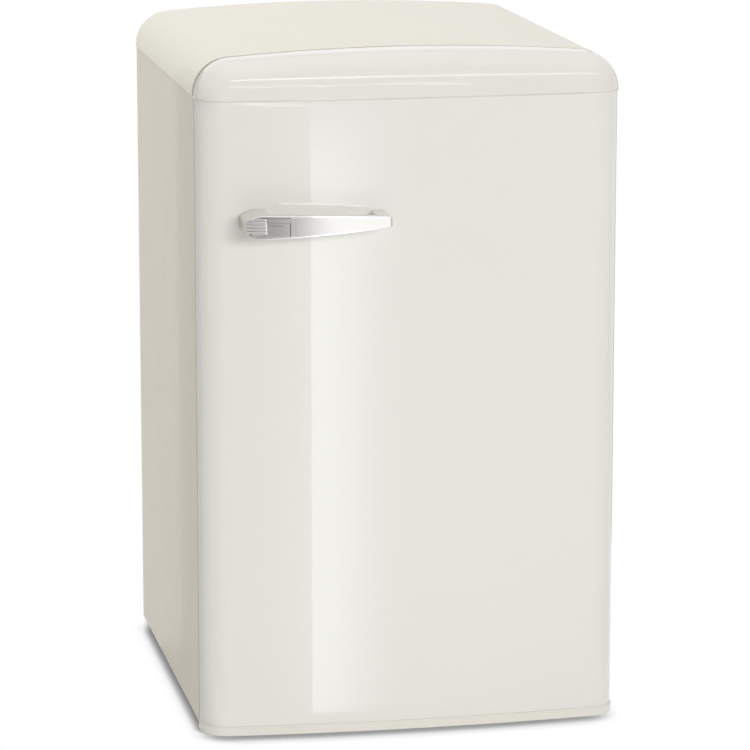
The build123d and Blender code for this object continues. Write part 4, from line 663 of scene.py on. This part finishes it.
def handle_grip():
    """Grid of the chromed handle: a section with rounded edges carried along the plan, its outside sunk."""
    outer, inner, way = handle_path()
    edge, turn = 1.6, np.linspace(0, math.pi / 2, 7)
    insets, falls = edge * (1 - np.cos(turn)), edge * (1 - np.sin(turn))
    top = np.concatenate([np.linspace(1.7, 3.1, 8), np.linspace(3.4, 9.4, 19), [9.6, 9.8, 10.0, 10.2]])
    foot = np.linspace(3.1, 1.7, 8)
    x, y = outer.T
    high, low = handle_heights(x)
    deep = np.minimum(1.0, (high - low) / 15.0)[:, None]
    upper = high[:, None] - top * deep
    lower = low[:, None] + foot * deep
    share = np.linspace(0, 1, 50)[None, 1:-1]
    z = np.hstack([upper, upper[:, -1:] + share * (lower[:, :1] - upper[:, -1:]), lower])
    sunk = handle_relief(x[:, None], y[:, None], z, high[:, None], low[:, None])
    face = np.dstack([outer[:, None, :] + sunk[..., None] * way[:, None, :], z])

    def edge_rows(inset, fall, above):
        """Rows over the rounded upper or lower edge, drawn in by an inset and down or up by a fall."""
        place = outer[:, None, :] + inset[None, :, None] * way[:, None, :]
        height = handle_heights(place[..., 0])[0 if above else 1]
        return np.dstack([place, height - fall if above else height + fall])

    def level_rows(above):
        """Rows across the top or the foot, from the rounded edge to the inner line."""
        start = outer + edge * way
        u = np.array([0.08, 0.2, 0.35, 0.5, 0.65, 0.8, 0.92, 0.97, 1.0])[None, :, None]
        place = start[:, None, :] * (1 - u) + inner[:, None, :] * u
        height = handle_heights(place[..., 0])[0 if above else 1]
        fall = np.array([0, 0, 0, 0, 0, 0, 0.1, 0.5, 1.4])[None, :] * (1 if above else -1)
        return np.dstack([place, height - fall])

    rows = [level_rows(True)[:, ::-1], edge_rows(insets[::-1], falls[::-1], True), face,
            edge_rows(insets, falls, False), level_rows(False)]
    return np.concatenate(rows, 1)


def handle_feet(grip):
    """Soft pads under both posts: the outline of each foot carried back to the door."""
    pads = [np.stack([ring + (0, -0.05, 0), ring + (0, 1.1, 0)]) for ring in (grip[0], grip[-1])]
    return surface(pads, loop_columns=True, ends=True)


def panel_lines():
    """Dark lacquered lines sunk round the panel of the handle, their dark tone also painting the shade of
    the grooves: thin bars between two points at a depth.
    """
    lines = [
        ((-197.6, 689.5), (-168.9, 688.4), 2.2), ((-197.6, 686.3), (-178.0, 685.6), 2.2),
        ((-168.9, 688.4), (-168.9, 672.6), 1.2), ((-204.0, 696.45), (-162.6, 695.0), 0.6),
    ]
    half, root, proud = 0.3, 0.3, -0.12
    bars = []
    for start, end, deep in lines:
        start, end = np.array(start), np.array(end)
        along = (end - start) / np.hypot(*(end - start))
        across = half * np.array([-along[1], along[0]])
        corners = np.array([start - across, end - across, end + across, start + across])
        bars.append(np.stack([np.insert(corners, 1, handle_face + deep + d, axis=1) for d in (root, proud)]))
    return surface(bars, loop_columns=True, ends=True)


def back_screws():
    """Pan head screws round the back panel."""
    panel, radius, height = 306.5, 4.2, 2.4
    places = [(x, z) for x in (-252, 252) for z in (236, 380, 524, 668, 812)]
    places += [(x, 822) for x in (-150, -50, 50, 150)]
    heads = [cross_screw((x, panel, z), (0, 1, 0), (1, 0, 0), radius, height) for x, z in places]
    return surface(heads, loop_columns=True, ends=True)


def dial_marks():
    """Raised marks round the thermostat knob, each a small bar that grows with the setting."""
    count, sweep, start, half = 8, 270, 23.2, 0.45
    knob_y, knob_z = -64.5, 731
    bars = []
    for i in range(count):
        a = math.radians(-sweep / 2 + sweep * i / (count - 1))
        out = np.array([0, math.sin(a), math.cos(a)])
        along = np.array([0, math.cos(a), -math.sin(a)])
        end = 24.8 + 0.38 * i
        box = []
        for x, shrink in ((202.0, 0.0), (201.7, 0.0), (201.6, 0.12)):
            corners = ((start + shrink, shrink - half), (end - shrink, shrink - half),
                       (end - shrink, half - shrink), (start + shrink, half - shrink))
            box.append([np.array([x, knob_y, knob_z]) + p * out + q * along for p, q in corners])
        bars.append(np.array(box))
    return surface(bars, loop_columns=True, ends=True)


# Grey tone of a thin strip just below the door cap: a painted shadow line under the cap's edge.
cap_shadow_tone = rubbery("cap_shadow_paint", srgb(221, 217, 208))
# Dark tone of the handle panel's lines: lacquer in the grooves, and also painted shade of the grooves.
lacquer_and_shade_tone = rubbery("lacquer_and_groove_shade", srgb(112, 105, 98))
piece("door_front_sheet", door_sheet(), finishes["cream_paint"], "door", ["door_skin"])
# Thin strip below the cap whose grey paints the shadow line under the cap's overhang.
piece("cap_shadow_strip", band(835.2, 836.35, -1.15, -1.55), cap_shadow_tone, "door")
piece("foot_bead", bead(16.45, -0.45, 0.45), finishes["cream_plastic"], "door")
grip = handle_grip()
grip_shape = surface([grip], loop_columns=True, ends=True)
piece("handle_grip", grip_shape, finishes["chrome"], "door",
      ["handle_bar", "handle_ornament"], crease=32.0)
piece("handle_feet", handle_feet(grip), finishes["grey_plastic"], "door", ["handle_pads"])
# Dark lines in the handle panel: lacquer, their darkness also painting the groove shade.
piece("panel_lines", panel_lines(), lacquer_and_shade_tone, "door")
dome = piece("domed_cap", domed_cap(), finishes["cream_plastic"], "door", ["door_top_cap"])
wall = dome.modifiers.new("wall", "SOLIDIFY")
wall.thickness = 0.0026
wall.offset = -1.0
piece("bellows_seal", bellows_seal(), finishes["gasket"], "door", ["door_gasket"], crease=60.0)
piece("upright_wires", upright_wires(), finishes["black_paint"], "cabinet",
      ["condenser_wires"])
piece("back_screws", back_screws(), finishes["zinc"], "cabinet")
piece("dial_marks", dial_marks(), finishes["grey_plastic"], "cabinet")


# Studio, in metres

white = (1, 1, 1, 1)
cool_white = (0.95, 0.99, 1.08, 1)
everywhere = (-1.0, 1.0)
no_fading = (9.0, 10.0)
eye_place = np.array([-0.994, -5.1225, 1.500])


def put(name, vertices, faces):
    """Object from vertex and face arrays, at the origin."""
    mesh = bpy.data.meshes.new(name)
    mesh.from_pydata(vertices.tolist(), [], faces)
    thing = bpy.data.objects.new(name, mesh)
    scene.collection.objects.link(thing)
    return thing


def rectangle(name, centre, across, up):
    """Flat sheet: centre + u * across + v * up with u and v at -1 and 1."""
    signs = np.array([(-1, -1), (1, -1), (1, 1), (-1, 1)], float)
    vertices = np.array(centre) + signs[:, :1] * np.array(across) + signs[:, 1:] * np.array(up)
    return put(name, vertices, [[0, 1, 2, 3]])


def bare_tree(owner):
    """Node tree of a material or world, emptied."""
    owner.use_nodes = True
    owner.node_tree.nodes.clear()
    return owner.node_tree


def worked(tree, operation, *values):
    """Result of a Math node on outputs and numbers."""
    node = tree.nodes.new("ShaderNodeMath")
    node.operation = operation
    for value, socket in zip(values, node.inputs):
        if isinstance(value, float):
            socket.default_value = value
        else:
            tree.links.new(value, socket)
    return node.outputs["Value"]


def eased(tree, value, start, end, low=0.0, high=1.0):
    """Smoothstep of a value, from low at start to high at end."""
    node = tree.nodes.new("ShaderNodeMapRange")
    node.interpolation_type = "SMOOTHSTEP"
    for socket, number in zip(("From Min", "From Max", "To Min", "To Max"), (start, end, low, high)):
        node.inputs[socket].default_value = number
    tree.links.new(value, node.inputs["Value"])
    return node.outputs["Result"]


def graded(tree, value, steps):
    """Grey ramp over a value, through steps of place and tone."""
    ramp = tree.nodes.new("ShaderNodeValToRGB")
    elements = ramp.color_ramp.elements
    elements.remove(elements[1])
    for place, tone in steps:
        elements.new(place).color = (tone, tone, tone, 1)
    elements.remove(elements[0])
    tree.links.new(value, ramp.inputs["Fac"])
    return ramp.outputs["Color"]


def blended(tree, share, first, second):
    """Shader that goes from the first to the second with a share."""
    mix = tree.nodes.new("ShaderNodeMixShader")
    tree.links.new(share, mix.inputs["Fac"])
    tree.links.new(first, mix.inputs[1])
    tree.links.new(second, mix.inputs[2])
    return mix.outputs["Shader"]


def object_axes(tree):
    """Object coordinates as x, y and z."""
    place = tree.nodes.new("ShaderNodeTexCoord")
    split = tree.nodes.new("ShaderNodeSeparateXYZ")
    tree.links.new(place.outputs["Object"], split.inputs["Vector"])
    return split.outputs["X"], split.outputs["Y"], split.outputs["Z"]


def seen_rays(tree):
    """1 for camera, glossy and transmission rays, 0 for the rest."""
    rays = tree.nodes.new("ShaderNodeLightPath").outputs
    direct = worked(tree, "MAXIMUM", rays["Is Camera Ray"], rays["Is Glossy Ray"])
    return worked(tree, "MAXIMUM", direct, rays["Is Transmission Ray"])


def floor_shade(tree):
    """Tone of the floor, a painted contact shadow: the darker of a ramp on occlusion and a shadow painted by
    a ramp on |x| under both sides.

    The ramp under the sides fades out, and draws in by the taper, past the front and past the back."""
    # Painted contact shadow: a tone by how closed in the floor is.
    front = [
        (0.06, 0.26), (0.075, 0.36), (0.09, 0.42), (0.13, 0.52), (0.2, 0.625),
        (0.38, 0.74), (0.56, 0.815), (0.65, 0.89), (0.72, 0.95), (0.8, 1.0),
    ]
    # Shadow painted under both sides of the cabinet, by |x| alone.
    painted_flank_shadow = [(0.266, 0.20), (0.270, 0.25), (0.274, 0.40), (0.278, 0.66), (0.282, 0.9), (0.286, 1.0)]
    taper = 0.02
    near = tree.nodes.new("ShaderNodeAmbientOcclusion")
    near.samples = 16
    near.inputs["Distance"].default_value = 0.038
    x, y, _ = object_axes(tree)
    past_end = worked(tree, "MAXIMUM", eased(tree, y, -0.205, -0.262), eased(tree, y, 0.27, 0.39))
    aside = worked(tree, "MULTIPLY_ADD", past_end, taper, worked(tree, "ABSOLUTE", x))
    painted_flank_shadows = worked(tree, "MAXIMUM", graded(tree, aside, painted_flank_shadow), past_end)
    return worked(tree, "MINIMUM", graded(tree, near.outputs["AO"], front), painted_flank_shadows)


def white_floor():
    """White floor that shows a glow to what is seen, with a soft contact shadow painted into the glow round
    what stands on it.
    """
    floor = rectangle("floor", (0, 0, -0.0003), (30, 0, 0), (0, 30, 0))
    material = bpy.data.materials.new("studio_floor")
    tree = bare_tree(material)
    out = tree.nodes.new("ShaderNodeOutputMaterial")
    matt = tree.nodes.new("ShaderNodeBsdfDiffuse")
    matt.inputs["Color"].default_value = (0.8, 0.8, 0.8, 1)
    glow = tree.nodes.new("ShaderNodeEmission")
    tree.links.new(floor_shade(tree), glow.inputs["Color"])
    shown = blended(tree, seen_rays(tree), matt.outputs["BSDF"], glow.outputs["Emission"])
    tree.links.new(shown, out.inputs["Surface"])
    floor.data.materials.append(material)


def studio_air(ambient):
    """White surroundings for what is seen, softer light for what is lit."""
    world = bpy.data.worlds.new("studio")
    scene.world = world
    tree = bare_tree(world)
    out = tree.nodes.new("ShaderNodeOutputWorld")
    lit = tree.nodes.new("ShaderNodeBackground")
    lit.inputs["Strength"].default_value = ambient
    seen = tree.nodes.new("ShaderNodeBackground")
    seen.inputs["Color"].default_value = white
    shown = blended(tree, seen_rays(tree), lit.outputs["Background"], seen.outputs["Background"])
    tree.links.new(shown, out.inputs["Surface"])


def soft_lamp(name, place, aim, wide, tall, watts):
    """Oblong area lamp, out of sight of reflections."""
    lamp = bpy.data.lights.new(name, "AREA")
    lamp.shape = "RECTANGLE"
    lamp.size = wide
    lamp.size_y = tall
    lamp.energy = watts
    thing = bpy.data.objects.new(name, lamp)
    thing.location = place
    thing.rotation_euler = (Vector(aim) - Vector(place)).to_track_quat("-Z", "Y").to_euler()
    thing.visible_camera = False
    thing.visible_glossy = False
    thing.visible_transmission = False
    scene.collection.objects.link(thing)


def glow_surface(card, strengths, ends=everywhere, colour=white, fading=no_fading, one_sided=False):
    """Gives a panel its glow, from one strength to another along X, and shows it to reflections alone.

    Between the heights of fading the glow goes to a strength of 1."""
    material = bpy.data.materials.new(card.name)
    tree = bare_tree(material)
    out = tree.nodes.new("ShaderNodeOutputMaterial")
    x, _, z = object_axes(tree)
    level = tree.nodes.new("ShaderNodeMix")
    level.inputs["B"].default_value = 1.0
    tree.links.new(eased(tree, z, *fading), level.inputs["Factor"])
    tree.links.new(eased(tree, x, *ends, *strengths), level.inputs["A"])
    glow = tree.nodes.new("ShaderNodeEmission")
    glow.inputs["Color"].default_value = colour
    tree.links.new(level.outputs["Result"], glow.inputs["Strength"])
    shown = glow.outputs["Emission"]
    if one_sided:
        side = tree.nodes.new("ShaderNodeNewGeometry")
        blank = tree.nodes.new("ShaderNodeBsdfTransparent")
        shown = blended(tree, side.outputs["Backfacing"], shown, blank.outputs["BSDF"])
    tree.links.new(shown, out.inputs["Surface"])
    card.data.materials.append(material)
    for kind in ("camera", "diffuse", "transmission", "volume_scatter", "shadow"):
        setattr(card, "visible_" + kind, False)


def glow_card(name, centre, across, up, strengths, **glow):
    """Flat panel that only reflections see."""
    glow_surface(rectangle(name, centre, across, up), strengths, **glow)


def glow_ribbon(name, line, half, strengths, **glow):
    """Bent panel that only reflections see: a strip of these half heights along a line."""
    rise = np.broadcast_to(half, len(line))[:, None] * [0, 0, 1]
    strip = surface([np.stack([line - rise, line + rise])])
    glow_surface(put(name, *strip), strengths, **glow)


def mirrored(points, ways, depth):
    """Where rays from the camera, mirrored at points with these ways out, meet the plane y = depth."""
    view = points - eye_place
    ray = view - 2 * (view * ways).sum(-1, keepdims=True) * ways
    return points + ray * ((depth - points[:, 1]) / ray[:, 1])[:, None]


def on_cap(low, high, rise):
    """Points and ways out of the cap between two x, at a rise above the foot of its rolled edge."""
    spine, side, front = edge_roll()
    chosen = (spine[:, 0] > low) & (spine[:, 0] < high)
    spine, side, front = spine[chosen], side[chosen], front[chosen]
    up = rise(spine[:, 0])[:, None]
    quarter_turn = corner_radius * math.pi / 2
    ways = rolled(side, front, 1 - np.maximum(up, 0) / quarter_turn)
    return (spine + corner_radius * ways + np.minimum(up, 0) * [0, 0, 1]) * MM, ways


def on_door(x, z):
    """Points and ways out of the bow of the door."""
    bow = arc_radius(half_width, bow_rise)
    deep = np.sqrt(bow ** 2 - x ** 2)
    points = np.stack([x, bow + door_front - deep, z], -1)
    return points * MM, np.stack([x, -deep, 0 * x], -1) / bow


def on_handle():
    """Points, ways out and half heights of the flat face of the handle."""
    x = np.linspace(handle_left, handle_right, 40)
    high, low = handle_heights(x)
    points = np.stack([x, np.full_like(x, handle_face), (high + low) / 2], -1)
    return points * MM, np.array([[0, -1, 0]]), (high - low) / 2 * MM


def lamps():
    """A wide lamp in front, one overhead, and fills at the left, the right, the foot and the back."""
    middle = (0, 0, 0.5)
    soft_lamp("front_softbox", (1.5, -6.1, 2.05), (0, -0.2, 0.5), 3.4, 1.4, 156)
    soft_lamp("left_fill", (-5.0, -0.6, 2.2), middle, 2.5, 2.5, 32)
    soft_lamp("right_fill", (5.0, 0.3, 2.2), middle, 2.5, 2.5, 14)
    soft_lamp("low_fill", (0.0, -1.4, 0.1), (0, -0.3, 0.12), 0.9, 0.3, 0.9)
    soft_lamp("rear_left_fill", (-2.2, 1.2, 1.6), (0, 0.1, 0.5), 1.5, 1.5, 4.5)
    soft_lamp("overhead_softbox", (-0.6, 0.4, 4.0), middle, 2.4, 2.4, 42)


def door_panels():
    """Three upright panels side by side before the door, the last one bright at its left edge, and a sky."""
    depth, middle, up = -0.40, 0.407, (0, 0, 0.412)
    glow_card("corner_panel", (-0.3613, depth, middle), (0.1387, 0, 0), up, (0.45, 0.6),
              ends=(-0.46, -0.2226))
    glow_card("left_panel", (-0.174, depth, middle), (0.0490, 0, 0), up, (0.6, 1.05),
              ends=(-0.2226, -0.125))
    glow_card("tall_panel", (-0.061, depth, middle), (0.0640, 0, 0), up, (3.1, 1.0),
              ends=(-0.125, 0.003), colour=cool_white, fading=(0.69, 0.865))
    glow_card("sky_panel", (0, -0.34, 2.5), (1.5, 0, 0), (0, 1.34, 0), (1.25, 1.25), colour=cool_white)


def cap_ribbons():
    """Ribbons that show as two lines on the rolled edge of the cap, the lower one thinner to the right."""

    def upper_rise(x):
        """Rise of the upper line over the foot of the rolled edge, in mm."""
        return 5.9 + 1.25e-4 * (x - 20) ** 2

    def lower_rise(x):
        """Rise of the lower line, which bends up at its left end, in mm."""
        return 0.0289 * (31 - x) - 4.4 + 0.0024 * np.maximum(0, -195 - x) ** 2

    upper = mirrored(*on_cap(-230, 232, upper_rise), -0.62)
    lower = mirrored(*on_cap(-231, 76, lower_rise), -0.619)
    lower_half = 0.0016 + 0.0104 * np.clip((-0.059 - lower[:, 0]) / 0.217, 0, 1) ** 0.8
    glow_ribbon("cap_ribbon", upper, 0.018, (6.2, 4.4), ends=(-0.1, 0.05), colour=cool_white)
    glow_ribbon("cap_line", lower, lower_half, (5.0, 3.4), ends=(-0.2, 0.1), colour=cool_white)


def flags():
    """Grey cards round the fridge that tone down its corners."""
    middle, up = 0.45, (0, 0, 0.45)
    glow_card("left_flag", (-0.50, -0.25, middle), (0, 0.45, 0), up, (0.6, 0.6))
    glow_card("side_flag", (-0.60, -0.02, middle), (0.31, 0, 0), up, (0.5, 0.5))
    glow_card("right_flag", (0.50, -0.45, middle), (0, 0.25, 0), up, (0.6, 0.6))
    glow_card("rear_right_flag", (0.64, 0.60, middle), (0.34, 0, 0), up, (0.35, 0.35))
    glow_card("floor_flag", (-0.46, -0.06, 0.0006), (0.18, 0, 0), (0, 0.26, 0), (0.5, 0.5))


def handle_ribbons():
    """Grey that fades to white on the face of the handle, and a thin line on the door above it."""
    face, ways, half = on_handle()
    glow_ribbon("handle_flag", mirrored(face, ways, -0.37), half, (0.47, 1.26), ends=(-0.188, -0.094))
    x = np.linspace(-174, -62, 30)
    aside = x + 119
    line = on_door(x, 703.8 - 0.0517 * aside - 0.000375 * aside ** 2)
    glow_ribbon("handle_line", mirrored(*line, -0.292), 0.0004, (7.5, 7.5), one_sided=True)


def camera_of_the_photograph():
    """Camera 5 m away, turned right and tipped down, level about its axis."""
    frame_pixels, focal_pixels, sensor = 750, 3932.29, 36
    turned, tipped = 11.013, 11.677
    lens = bpy.data.cameras.new("camera")
    lens.sensor_width = sensor
    lens.lens = focal_pixels / frame_pixels * sensor
    eye = bpy.data.objects.new("camera", lens)
    eye.location = eye_place
    eye.rotation_euler = (math.radians(90 - tipped), 0, math.radians(-turned))
    scene.collection.objects.link(eye)
    scene.camera = eye


white_floor()
studio_air(0.50)
lamps()
door_panels()
cap_ribbons()
flags()
handle_ribbons()
camera_of_the_photograph()
scene.view_settings.view_transform = "Standard"
